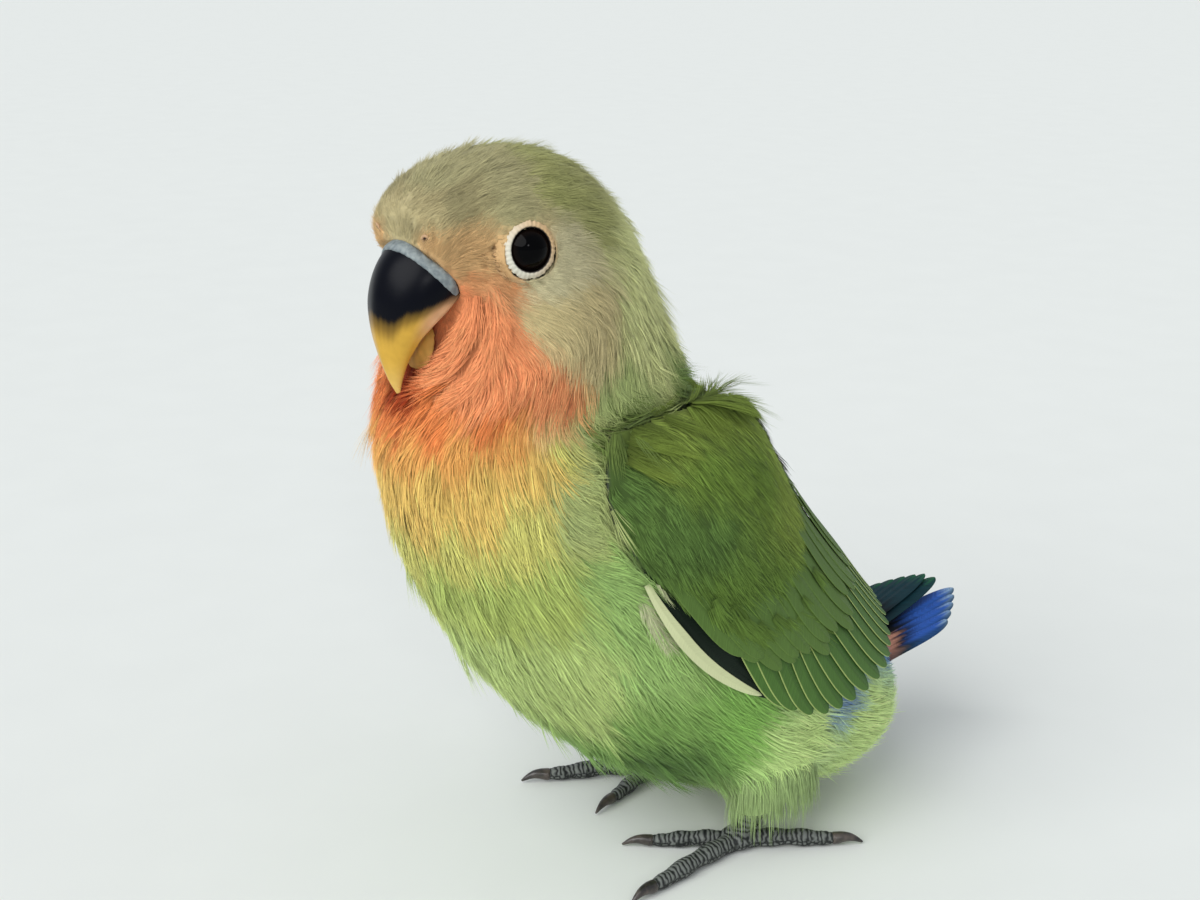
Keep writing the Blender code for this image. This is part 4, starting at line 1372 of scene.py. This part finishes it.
def makeFlights(side, sign):
    own = flightSettings
    blades = []
    paint = edged("primary", "primaryEdge", "primary", share=0.94)
    for k, share in enumerate(np.linspace(0, 1, own["primaryCount"])):
        places = [alongRow(own[key], share) for key in ("primaryRoots", "primaryMids", "primaryTips")]
        lifts = (-1.3, 1.0 + 0.12 * k, 1.1 + 0.14 * k)
        blades.append(bodyBlade(places, lifts, own["primaryWide"], paint, sign, 0.06, 26, point=0.6))
    pale = edged("whiteEdge", "whiteEdge", "whiteEdge", shaft=1.0)
    lifts = (-0.9, 0.85, 1.1, 1.15)
    band = bodyBlade(own["bandPlaces"], lifts, own["bandWide"], pale, sign, 0.0, 26, point=0.35)
    makeVanes(side + "_wing_edge", [band], edgeLook)
    paint = edged("secondary", "paleEdge", "secondaryDark")
    for k, share in enumerate(np.linspace(0, 1, own["secondaryCount"])):
        tip = alongRow(own["secondaryTips"], share)
        middle = alongRow(own["secondaryMids"], share)
        places = (middle + 1.1 * (middle - tip), middle, tip)
        blades.append(bodyBlade(
            places, (-0.7, -0.3, 0.0), own["secondaryWide"], paint, sign, -0.12, 22,
            over=0.1 + 0.03 * k, point=0.72, least=own["least"],
        ))
    makeVanes(side + "_flight_feathers", blades, flightLook)
    blades = []
    paint = edged("covert", "covertEdge", "covert", share=0.93, shaft=0.9)
    for k, share in enumerate(np.linspace(0, 1, own["covertCount"])):
        tip = alongRow(own["covertTips"], share) + 0.12 * draws.normal(size=2) * (1, 4)
        root = tip + np.array((own["covertLong"], -own["covertTurn"] * min(1.0, 3 * share)))
        blades.append(bodyBlade(
            (root, (root + tip) / 2, tip), (-1.1, -0.35, 0.2), own["covertWide"], paint, sign, -0.1, 18,
            over=0.15 + 0.03 * k, point=0.7, least=own["least"],
        ))
    makeVanes(side + "_greater_coverts", blades, flightLook)


flightLook = vaneMaterial("flight feather vanes", depth=0.28)
edgeLook = vaneMaterial("pale wing edge", 0.8, 0.1)
for wingSide, wingSign in bothSides:
    makeFlights(wingSide, wingSign)

# Tail
tailSettings = {
    "root": np.array((0.0, 28.0, 19.8)),
    "rise": 17.0,
    "long": 26.5,
    "spread": 0.8,
    "step": 1.08,
    "wide": 2.0,
    "count": 12,
    "farShort": 3.5,
    "farRise": 7.5,
    "teal": (14, 50, 58),
    "green": (36, 92, 62),
    "pink": (206, 146, 122),
    "black": (10, 14, 20),
    "blue": (44, 88, 170),
    "tip": (136, 164, 186),
}


def tailPaint(place):
    # on the left a rosy patch low on the outer ones, a black band and blue ends; green ends on the right
    names = ("teal", "blue", "blue", "black", "black", "teal", "teal", "green")
    if place > 0.6:
        rosy = "pink" if place > 3.2 else "black"
        names = ("teal", "blue", rosy, rosy, "black", "blue", "blue", "tip")
    stops = np.array([linear(tailSettings[name]) for name in names])
    at = (0.0, 0.22, 0.36, 0.45, 0.54, 0.7, 0.9, 1.0)

    def paint(s, c):
        run = s + 0.035 * np.sin(9 * c + place)
        tone = np.stack([np.interp(run, at, stops[:, channel]) for channel in range(3)], -1)
        outerWeb = smooth(0.1, 0.75, c)[:, None]
        return tone * (1 - 0.7 * outerWeb) + 0.7 * outerWeb * stops[0]

    return paint


def makeTail():
    own = tailSettings
    side = np.array((1.0, 0.0, 0.0))
    start = own["root"] + bodyForm["shift"]
    s = np.sin(0.5 * math.pi * np.linspace(0, 1, 28))
    blades = []
    for k in range(own["count"]):
        place = k - (own["count"] - 1) / 2
        sign = 1.0 if place > 0 else -1.0
        lean = math.radians(own["rise"] + own["farRise"] * smooth(1.2, 0.2, place))
        back = np.array((0.0, math.cos(lean), math.sin(lean)))
        high = np.array((0.0, -math.sin(lean), math.cos(lean)))
        turn = math.radians(own["spread"] * place)
        ahead = math.cos(turn) * back + math.sin(turn) * side
        root = start + own["step"] * place * side - 0.12 * abs(place) * high
        long = own["long"] - 0.6 * abs(place) ** 1.45 - own["farShort"] * smooth(1.2, 0.2, place)
        centres = root + (s * long)[:, None] * ahead + (0.5 * np.sin(s * 3.0))[:, None] * high * 0.4
        widths = own["wide"] * np.minimum(1.0, 0.5 + 1.4 * s) * roundTip(s, 0.62).clip(0.04)
        blades.append(dict(
            centres=centres, normals=np.repeat(high[None], len(s), 0), widths=widths,
            roll=0.1 * sign, droop=0.05, paint=tailPaint(place), outer=sign,
        ))
    made = makeVanes("tail_feathers", blades, vaneMaterial("tail feather vanes"))
    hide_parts("tail")


makeTail()

# Eyes and lids
eyeSettings = {
    "radius": 3.62,
    "bulge": 0.35,
    "opening": 2.38,
    "tall": 1.1,
    "ringThick": 0.2,
    "ringSpread": 0.4,
    "pupil": 30.0,
    "iris": 46.0,
    "irisColour": (14, 8, 6),
    "ringColour": (214, 212, 196),
    "ringTop": (206, 172, 126),
    "rimColour": (38, 32, 30),
    "pupilColour": (3, 3, 4),
}


def turnedTo(axis):
    return Vector(axis).to_track_quat("Z", "Y").to_matrix()


def makeEye(side):
    own = eyeSettings
    eye = eyes[side]
    bpy.ops.object.select_all(action="DESELECT")
    bpy.ops.mesh.primitive_uv_sphere_add(segments=64, ring_count=40, radius=own["radius"] * mm)
    ball = bpy.context.active_object
    ball.name = side + "_eyeball"
    turn = np.array(turnedTo(eye["axis"]))
    points = pointsOf(ball)
    away = np.degrees(np.arccos((points[:, 2] / own["radius"]).clip(-1, 1)))
    points[:, 2] += own["bulge"] * smooth(44, 10, away)
    band = smooth(own["pupil"], own["pupil"] + 3, away) * smooth(own["iris"], own["iris"] - 4, away)
    band = band[:, None]
    colours = linear(own["pupilColour"]) * (1 - band) + band * linear(own["irisColour"])
    movePoints(ball, points @ turn.T + eye["centre"])
    paintPoints(ball, colours)
    smoothed(ball)
    ball.data.materials.append(eyeLook)
    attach(ball, "root")
    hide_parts(side + "_eye")
    makeLid(side, turn)


def makeLid(side, turn):
    own = eyeSettings
    eye = eyes[side]
    bpy.ops.object.select_all(action="DESELECT")
    bpy.ops.mesh.primitive_torus_add(
        major_segments=120, minor_segments=28, major_radius=(own["opening"] + own["ringThick"]) * mm,
        minor_radius=own["ringThick"] * mm,
    )
    ring = bpy.context.active_object
    ring.name = side + "_lids"
    points = pointsOf(ring)
    angle = np.arctan2(points[:, 1], points[:, 0])
    reach = np.hypot(points[:, 0], points[:, 1])
    outward = (reach - own["opening"]) / (2 * own["ringThick"])
    # papillae round the ring, and a thin dark rim against the eye
    beads = 0.12 * np.abs(np.sin(17 * angle)) * smooth(0.25, 0.6, outward) * (points[:, 2] > -0.1)
    # it is broadest below and in front of the eye
    front = 0.5 + 0.5 * np.cos(angle - (math.pi * 1.2 if eye["sign"] > 0 else -math.pi * 0.2))
    ragged = 0.18 * np.sin(19 * angle + 3 * np.sin(5 * angle))
    ragged = ragged + 0.12 * np.sin(43 * angle + 2 * np.sin(3 * angle))
    reach = reach + own["ringSpread"] * (0.75 + 0.45 * front**2 + ragged) * smooth(0.4, 1.0, outward)
    points[:, 0] = reach * np.cos(angle)
    points[:, 1] = reach * np.sin(angle) * own["tall"]
    points[:, 2] = points[:, 2] * 0.8 + beads - 0.35 * smooth(0.5, 1.0, outward)
    points[:, 2] += np.sqrt(own["radius"] ** 2 - own["opening"] ** 2) + 0.12
    pale = smooth(0.2, 0.46 + 0.1 * np.sin(29 * angle), outward)[:, None]
    speck = (0.86 + 0.14 * np.abs(np.sin(17 * angle)))[:, None]
    tone = linear(own["ringTop"]) * (1 - front[:, None]) + front[:, None] * linear(own["ringColour"])
    colours = linear(own["rimColour"]) * (1 - pale) + pale * tone * speck
    movePoints(ring, points @ turn.T + eye["centre"])
    paintPoints(ring, colours)
    smoothed(ring)
    ring.data.materials.append(lidLook)
    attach(ring, "root")


def makeEyeLooks():
    eyeMade, tree, shader = newMaterial("eye", Roughness=0.03, Specular_IOR_Level=0.05)
    usePaint(tree, shader)
    lidMade, tree, shader = newMaterial("eye ring skin", Roughness=0.6, Specular_IOR_Level=0.3)
    usePaint(tree, shader)
    bump(tree, shader, grainOf(tree, 2400.0), 0.5, 0.0001)
    return eyeMade, lidMade


eyeLook, lidLook = makeEyeLooks()
for eyeSide in eyes:
    makeEye(eyeSide)
print("stage: eyes and lids")

# Bill and cere
billSettings = {
    "rows": 84,
    "around": 120,
    "black": (3, 5, 14),
    "brown": (70, 48, 24),
    "yellow": (204, 162, 66),
    "tip": (226, 190, 104),
    "edge": (214, 170, 128),
    "lower": (222, 176, 92),
    "lowerDark": (160, 120, 60),
    "cere": (140, 150, 150),
    "cereDark": (104, 114, 118),
}


def hornLook(name, rough):
    made, tree, shader = newMaterial(name, Roughness=rough, Specular_IOR_Level=0.1)
    grain = grainOf(tree, 700.0, 4.0)
    usePaint(tree, shader, between(tree, grain, 0.85, 1.15))
    bump(tree, shader, grain, 0.15, 0.0001)
    return made


def billMarkings(row, angle):
    # black horn runs out in short streaks into yellow, and leaves a pale cutting edge
    own = billSettings
    streak = 0.06 * np.sin(9 * angle + 1.0) + 0.03 * np.sin(31 * angle + 2.0)
    turn = np.abs(angle)
    border = np.interp(turn, (0.0, 0.5, 0.9, 1.3, 1.7, 2.1, 3.2), (3.55, 3.75, 3.6, 3.15, 2.3, 0.9, 0.5))
    border = border + streak + 0.12 * np.sin(3 * angle + 0.6)
    dark = smooth(border + 0.3, border - 0.25, row)[:, None]
    brown = 0.65 * np.exp(-(((row - border - 0.15) / 0.35) ** 2))[:, None]
    low = smooth(4.8, 6.8, row)[:, None]
    base = linear(own["yellow"]) * (1 - low) + linear(own["tip"]) * low
    edge = (smooth(1.35, 1.95, turn) * smooth(4.4, 2.6, row))[:, None]
    base = base * (1 - edge) + edge * linear(own["edge"])
    base = base * (1 - brown) + brown * linear(own["brown"])
    return base * (1 - dark) + dark * linear(own["black"])


def makeUpperBill():
    own = billSettings
    turns = np.linspace(0, 2 * math.pi, own["around"], endpoint=False)
    turns = np.where(turns > math.pi, turns - 2 * math.pi, turns)
    row, angle = np.meshgrid(np.linspace(0.0, 7.0, own["rows"]), turns, indexing="ij")
    points = billPoint(row, angle).reshape(-1, 3)
    bill = meshFrom("upper_bill_horn", points, np.array(ringFaces(own["rows"], own["around"])))
    paintPoints(bill, billMarkings(row.ravel(), angle.ravel()))
    cleaned(bill, 0.000001)
    bill.data.materials.append(hornLook("upper bill horn", 0.3))
    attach(bill, "root")
    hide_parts("upper_bill")


def makeLowerBill():
    own = billSettings
    made = copyOf(("lower_bill",), "lower_bill_horn")
    applied(made, "REMESH", mode="VOXEL", voxel_size=0.2 * mm, use_smooth_shade=True)
    applied(made, "SMOOTH", factor=0.5, iterations=14)
    points = pointsOf(made)
    high = points[:, 2] - bodyForm["head"][2]
    points[:, 2] -= 1.3 * smooth(-8.0, -15.0, high)
    streak = 0.94 + 0.06 * np.sin(points[:, 0:1] * 5.0 + 2.0 * np.sin(1.7 * points[:, 2:3]))
    points[:, 0] *= 0.8 - 0.2 * smooth(-11.0, -6.0, high)
    share = smooth(-12.0, -16.0, high)[:, None]
    movePoints(made, points)
    paintPoints(made, (linear(own["lower"]) * (1 - share) + linear(own["lowerDark"]) * share) * streak)
    made.data.materials.append(hornLook("lower bill horn", 0.45))
    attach(made, "root")
    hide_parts("lower_bill")


def makeCere():
    # a low bead of skin that hugs the bill from one corner of the gape to the other
    own = billSettings
    count, around = 110, 20
    angle = np.linspace(-2.0, 2.0, count)
    row = np.full(count, 1.14)
    centre = billPoint(row, angle) - 0.05 * billNormal(row, angle)
    onward = unit(billPoint(row + 0.1, angle) - billPoint(row - 0.1, angle))
    out = billNormal(row, angle)
    ends = np.sqrt(1 - np.abs(angle / 2.05) ** 4).clip(0.15)
    turns = np.linspace(0, 2 * math.pi, around, endpoint=False)
    beads = 1 + 0.06 * np.sin(angle * 17) + 0.05 * np.sin(angle * 41 + 1)
    wide = (0.9 * ends * (1 + 0.5 * (beads - 1)))[:, None, None]
    high = (0.34 * ends * beads)[:, None, None]
    rings = centre[:, None] + wide * np.cos(turns)[None, :, None] * onward[:, None]
    rings = rings + high * np.sin(turns)[None, :, None] * out[:, None]
    band = meshFrom("cere_band", rings.reshape(-1, 3), np.array(ringFaces(count, around)))
    cleaned(band, 0.000001)
    band.data.materials.append(plainLook("cere skin", own["cere"], own["cereDark"], 1400.0, 0.6, 0.8))
    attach(band, "root")
    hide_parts("cere")


nostrilSettings = {
    "station": 15.76,
    "degrees": 151.0,
    "wide": 0.46,
    "rim": 0.2,
    "hole": 0.42,
    "sunk": 0.22,
    "flesh": (184, 150, 116),
    # the sunk middle is painted dark, as painted shade in the nostril's opening
    "dark": (44, 24, 20),
}


def makeNostrils():
    own = nostrilSettings
    for side, sign in bothSides:
        normal = bodyNormal(own["station"], own["degrees"] * sign)
        spot = nearest(bodyPoint(own["station"], own["degrees"] * sign)[None])[0][0] + 0.12 * normal
        bpy.ops.object.select_all(action="DESELECT")
        bpy.ops.mesh.primitive_torus_add(
            major_segments=40, minor_segments=16, major_radius=own["wide"] * mm, minor_radius=own["rim"] * mm
        )
        rim = bpy.context.active_object
        rim.name = side + "_nostril"
        bpy.ops.mesh.primitive_uv_sphere_add(
            segments=24, ring_count=12, radius=own["hole"] * mm, location=(0, 0, -own["sunk"] * mm)
        )
        rim.select_set(True)
        bpy.context.view_layer.objects.active = rim
        bpy.ops.object.join()
        points = pointsOf(rim)
        reach = np.hypot(points[:, 0], points[:, 1])
        # painted shade: the sunk middle of the nostril, its opening, is painted dark
        share = smooth(0.42, 0.34, reach)[:, None]
        colours = linear(own["flesh"]) * (1 - share) + share * linear(own["dark"])
        points[:, 2] = points[:, 2] * 0.8 + 0.03 * np.sin(7 * np.arctan2(points[:, 1], points[:, 0]))
        movePoints(rim, points @ np.array(turnedTo(normal)).T + spot)
        paintPoints(rim, colours)
        smoothed(rim)
        rim.data.materials.append(lidLook)
        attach(rim, "root")


def plainLook(name, colour, other, scale, rough, strength):
    made, tree, shader = newMaterial(name, Roughness=rough)
    grain = grainOf(tree, scale, 4.0)
    tone = ramp(tree, grain, ((0.35, linear(other)), (0.65, linear(colour))))
    tree.links.new(tone.outputs["Color"], shader.inputs["Base Color"])
    bump(tree, shader, grain, strength)
    return made


makeUpperBill()
makeLowerBill()
makeCere()
makeNostrils()
print("stage: bill, cere and nostrils")

# Feet and claws
footSettings = {
    # place on the floor and how far the foot points outward
    "legs": {"left": (12.2, 0.3, 6.0), "right": (-12.5, 2.1, 12.0)},
    # angle outward from straight ahead, length without claw, thickness
    "toes": {
        "outer_front": (8.0, 17.0, 1.4), "inner_front": (-36.0, 12.0, 1.25),
        "outer_back": (146.0, 13.5, 1.35), "inner_back": (-152.0, 8.5, 1.2),
    },
    "palm": (2.5, 2.8, 1.7),
    "ankle": (0.8, 4.2, 9.5),
    "around": 20,
    "voxel": 0.17,
    "scute": 0.72,
    "relief": 0.09,
    "pale": (112, 116, 112),
    "groove": (28, 31, 31),
    "claw": (40, 38, 38),
    "clawTip": (84, 76, 70),
}


def footParts(side):
    # lines from the palm out along each toe, and up the leg, each with its radii
    own = footSettings
    x, y, turn = own["legs"][side]
    sign = 1.0 if side == "left" else -1.0
    parts = []
    for angle, length, thick in own["toes"].values():
        bend = math.radians(angle + turn)
        ahead = np.array((sign * math.sin(bend), -math.cos(bend), 0.0))
        s = np.linspace(0.0, 1.0, 40)
        away = 0.4 + s * (length + 0.05)
        pads = 0.12 * np.cos(2 * math.pi * 3 * s) * smooth(0.1, 0.3, s)
        radius = thick * (1.02 - 0.2 * s) + pads - 0.42 * smooth(0.88, 1.0, s)
        rise = 0.86 * thick + 0.35 * np.sin(math.pi * np.minimum(1.2 * s, 1.0))
        centres = np.array((x, y, 0.0)) + away[:, None] * ahead + rise[:, None] * np.array((0.0, 0.0, 1.0))
        parts.append((centres, radius))
    base = np.array((x, y, 1.6))
    ankle = np.array((x + sign * own["ankle"][0], y + own["ankle"][1], own["ankle"][2]))
    s = np.linspace(0.0, 1.0, 30)[:, None]
    shin = (1 - s) ** 2 * base + 2 * s * (1 - s) * (base + (0.0, 0.6, 3.4)) + s**2 * ankle
    parts.append((shin, 1.75 - 0.3 * np.sin(math.pi * s[:, 0])))
    return base, parts


def tubeOf(centres, radius):
    ahead = unit(np.gradient(centres, axis=0))
    steep = np.abs(ahead[:, 2:]) > 0.7
    side = unit(np.cross(ahead, np.where(steep, (0.0, 1.0, 0.0), (0.0, 0.0, 1.0))))
    high = np.cross(side, ahead)
    turns = np.linspace(0, 2 * math.pi, footSettings["around"], endpoint=False)[None, :, None]
    rings = side[:, None] * np.cos(turns) + high[:, None] * np.sin(turns)
    return (centres[:, None] + radius[:, None, None] * rings).reshape(-1, 3)


def scaleLook():
    # plates with dark wavy lines across the top, and small round scales at the sides
    own = footSettings
    look, tree, shader = newMaterial("foot scales", Roughness=0.55, Specular_IOR_Level=0.3)
    place = addNode(tree, "ShaderNodeTexCoord")
    scutes = addNode(tree, "ShaderNodeUVMap", uv_map="scutes")
    parts = addNode(tree, "ShaderNodeSeparateXYZ", [(scutes.outputs["UV"], 0)])
    run = addNode(
        tree, "ShaderNodeMath", [(grainOf(tree, 900.0, 1.0), 0), (parts.outputs["X"], 2)],
        operation="MULTIPLY_ADD", in_1=1.5,
    )
    wave = addNode(tree, "ShaderNodeMath", [(run.outputs[0], 0)], operation="PINGPONG", in_1=0.5)
    cells = addNode(
        tree, "ShaderNodeTexVoronoi", [(place.outputs["Object"], "Vector")],
        feature="DISTANCE_TO_EDGE", in_Scale=1500.0,
    )
    wide = timesOf(tree, cells.outputs["Distance"], 1.3)
    plates = addNode(tree, "ShaderNodeMix", [
        (parts.outputs["Y"], "Factor"), (wide, "A"), (wave.outputs[0], "B"),
    ])
    pale, groove = linear(own["pale"]), linear(own["groove"])
    tone = ramp(tree, plates.outputs["Result"], (
        (0.08, groove), (0.2, groove * 0.6 + pale * 0.3), (0.34, pale * 0.85), (0.5, pale),
    ))
    tree.links.new(tone.outputs["Color"], shader.inputs["Base Color"])
    bump(tree, shader, plates.outputs["Result"], 0.7)
    return look


def makeFoot(side, look):
    own = footSettings
    base, parts = footParts(side)
    points, faces = [], []
    start = 0
    for centres, radius in parts:
        points.append(tubeOf(centres, radius))
        faces += tubeFaces(len(centres), own["around"], start)
        start += len(points[-1])
    s = np.linspace(-1.0, 1.0, 14)
    palm = tubeOf(np.stack((0 * s, 0 * s, s), -1), np.sqrt(1.001 - s**2))
    points.append(palm * own["palm"] + base)
    faces += tubeFaces(len(s), own["around"], start)
    foot = meshFrom(side + "_foot", np.concatenate(points), np.array(faces))
    cleaned(foot, 0.000001)
    applied(foot, "REMESH", mode="VOXEL", voxel_size=own["voxel"] * mm, use_smooth_shade=True)
    applied(foot, "SMOOTH", factor=0.5, iterations=8)
    points, normals = pointsOf(foot), normalsOf(foot)
    points[:, 2] = points[:, 2].clip(0.02)
    # each point takes its run from the nearest toe or the leg
    away = np.full(len(points), 1e9)
    run = np.zeros(len(points))
    for centres, _ in parts:
        far = np.linalg.norm(points[:, None] - centres[None], axis=-1)
        near = far.argmin(1)
        closer = far.min(1) < away
        length = np.concatenate(((0.0,), np.cumsum(np.linalg.norm(np.diff(centres, axis=0), axis=-1))))
        ahead = unit(np.gradient(centres, axis=0))[near]
        exact = length[near] + ((points - centres[near]) * ahead).sum(-1)
        run = np.where(closer, exact, run)
        away = np.minimum(away, far.min(1))
    onLeg = smooth(2.6, 4.0, points[:, 2])
    top = smooth(-0.1, 0.35, normals[:, 2] + onLeg)
    ridge = np.abs(np.sin(math.pi * run / own["scute"])) ** 0.6
    points += normals * ((ridge - 0.6) * own["relief"] * top)[:, None]
    points[:, 2] = points[:, 2].clip(0.0)
    movePoints(foot, points)
    uvPoints(foot, np.stack((run / own["scute"], top), -1), "scutes")
    foot.data.materials.append(look)
    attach(foot, "root")
    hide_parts(side + "_tarsus", *(f"{side}_{toe}" for toe in own["toes"]))


def makeFeet():
    own = footSettings
    look = scaleLook()
    clawLook = plainLook("claw horn", own["claw"], own["clawTip"], 700.0, 0.3, 0.1)
    for side in own["legs"]:
        makeFoot(side, look)
        names = [f"{side}_{toe}_claw" for toe in own["toes"]]
        claws = copyOf(names, side + "_claws")
        applied(claws, "SUBSURF", levels=2, render_levels=2)
        smoothed(claws)
        claws.data.materials.append(clawLook)
        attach(claws, "root")
        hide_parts(*names)


makeFeet()
print("stage: feet and claws")

# Floor, light and camera
stageSettings = {
    "floor": (229, 232, 228),
    "world": (238, 242, 248),
    "worldStrength": 0.58,
    # direction towards each light, its strength and how wide it looks in degrees
    "suns": {"window": ((0.33, -0.94, 0.85), 2.35, 50.0), "catch": ((0.845, -0.32, 0.433), 0.3, 9.0)},
    # lens in mm, place in metres, tilt and turn in degrees
    "lens": 50.0,
    "cameraPlace": (0.1866, -0.1235, 0.1299),
    "cameraTurn": (72.0, 0.0, 60.0),
}


def makeStage():
    own = stageSettings
    bpy.ops.object.select_all(action="DESELECT")
    bpy.ops.mesh.primitive_circle_add(vertices=96, radius=3.0, fill_type="NGON")
    floor = bpy.context.active_object
    floor.name = "floor"
    look, tree, shader = newMaterial("pale floor", Roughness=0.8, Specular_IOR_Level=0.1)
    colour = linear(own["floor"])
    tone = ramp(tree, grainOf(tree, 60.0), ((0.3, colour), (0.7, colour * 0.985)))
    tree.links.new(tone.outputs["Color"], shader.inputs["Base Color"])
    floor.data.materials.append(look)
    world = bpy.data.worlds.new("studio")
    bpy.context.scene.world = world
    world.use_nodes = True
    ground = world.node_tree.nodes["Background"]
    ground.inputs["Color"].default_value = (*linear(own["world"]), 1.0)
    ground.inputs["Strength"].default_value = own["worldStrength"]
    for name, (way, strength, wide) in own["suns"].items():
        lamp = bpy.data.lights.new(name, "SUN")
        lamp.energy = strength
        lamp.angle = math.radians(wide)
        held = bpy.data.objects.new(name, lamp)
        held.rotation_euler = Vector(way).to_track_quat("Z", "Y").to_euler()
        bpy.context.scene.collection.objects.link(held)
    lens = bpy.data.cameras.new("camera")
    lens.lens = own["lens"]
    lens.sensor_width = 36.0
    lens.clip_start = 0.01
    camera = bpy.data.objects.new("camera", lens)
    camera.location = own["cameraPlace"]
    camera.rotation_euler = [math.radians(turn) for turn in own["cameraTurn"]]
    bpy.context.scene.collection.objects.link(camera)
    bpy.context.scene.camera = camera
    bpy.context.scene.view_settings.view_transform = "Standard"


makeStage()
print("stage: coat of", sum(coatTotal), "triangles")
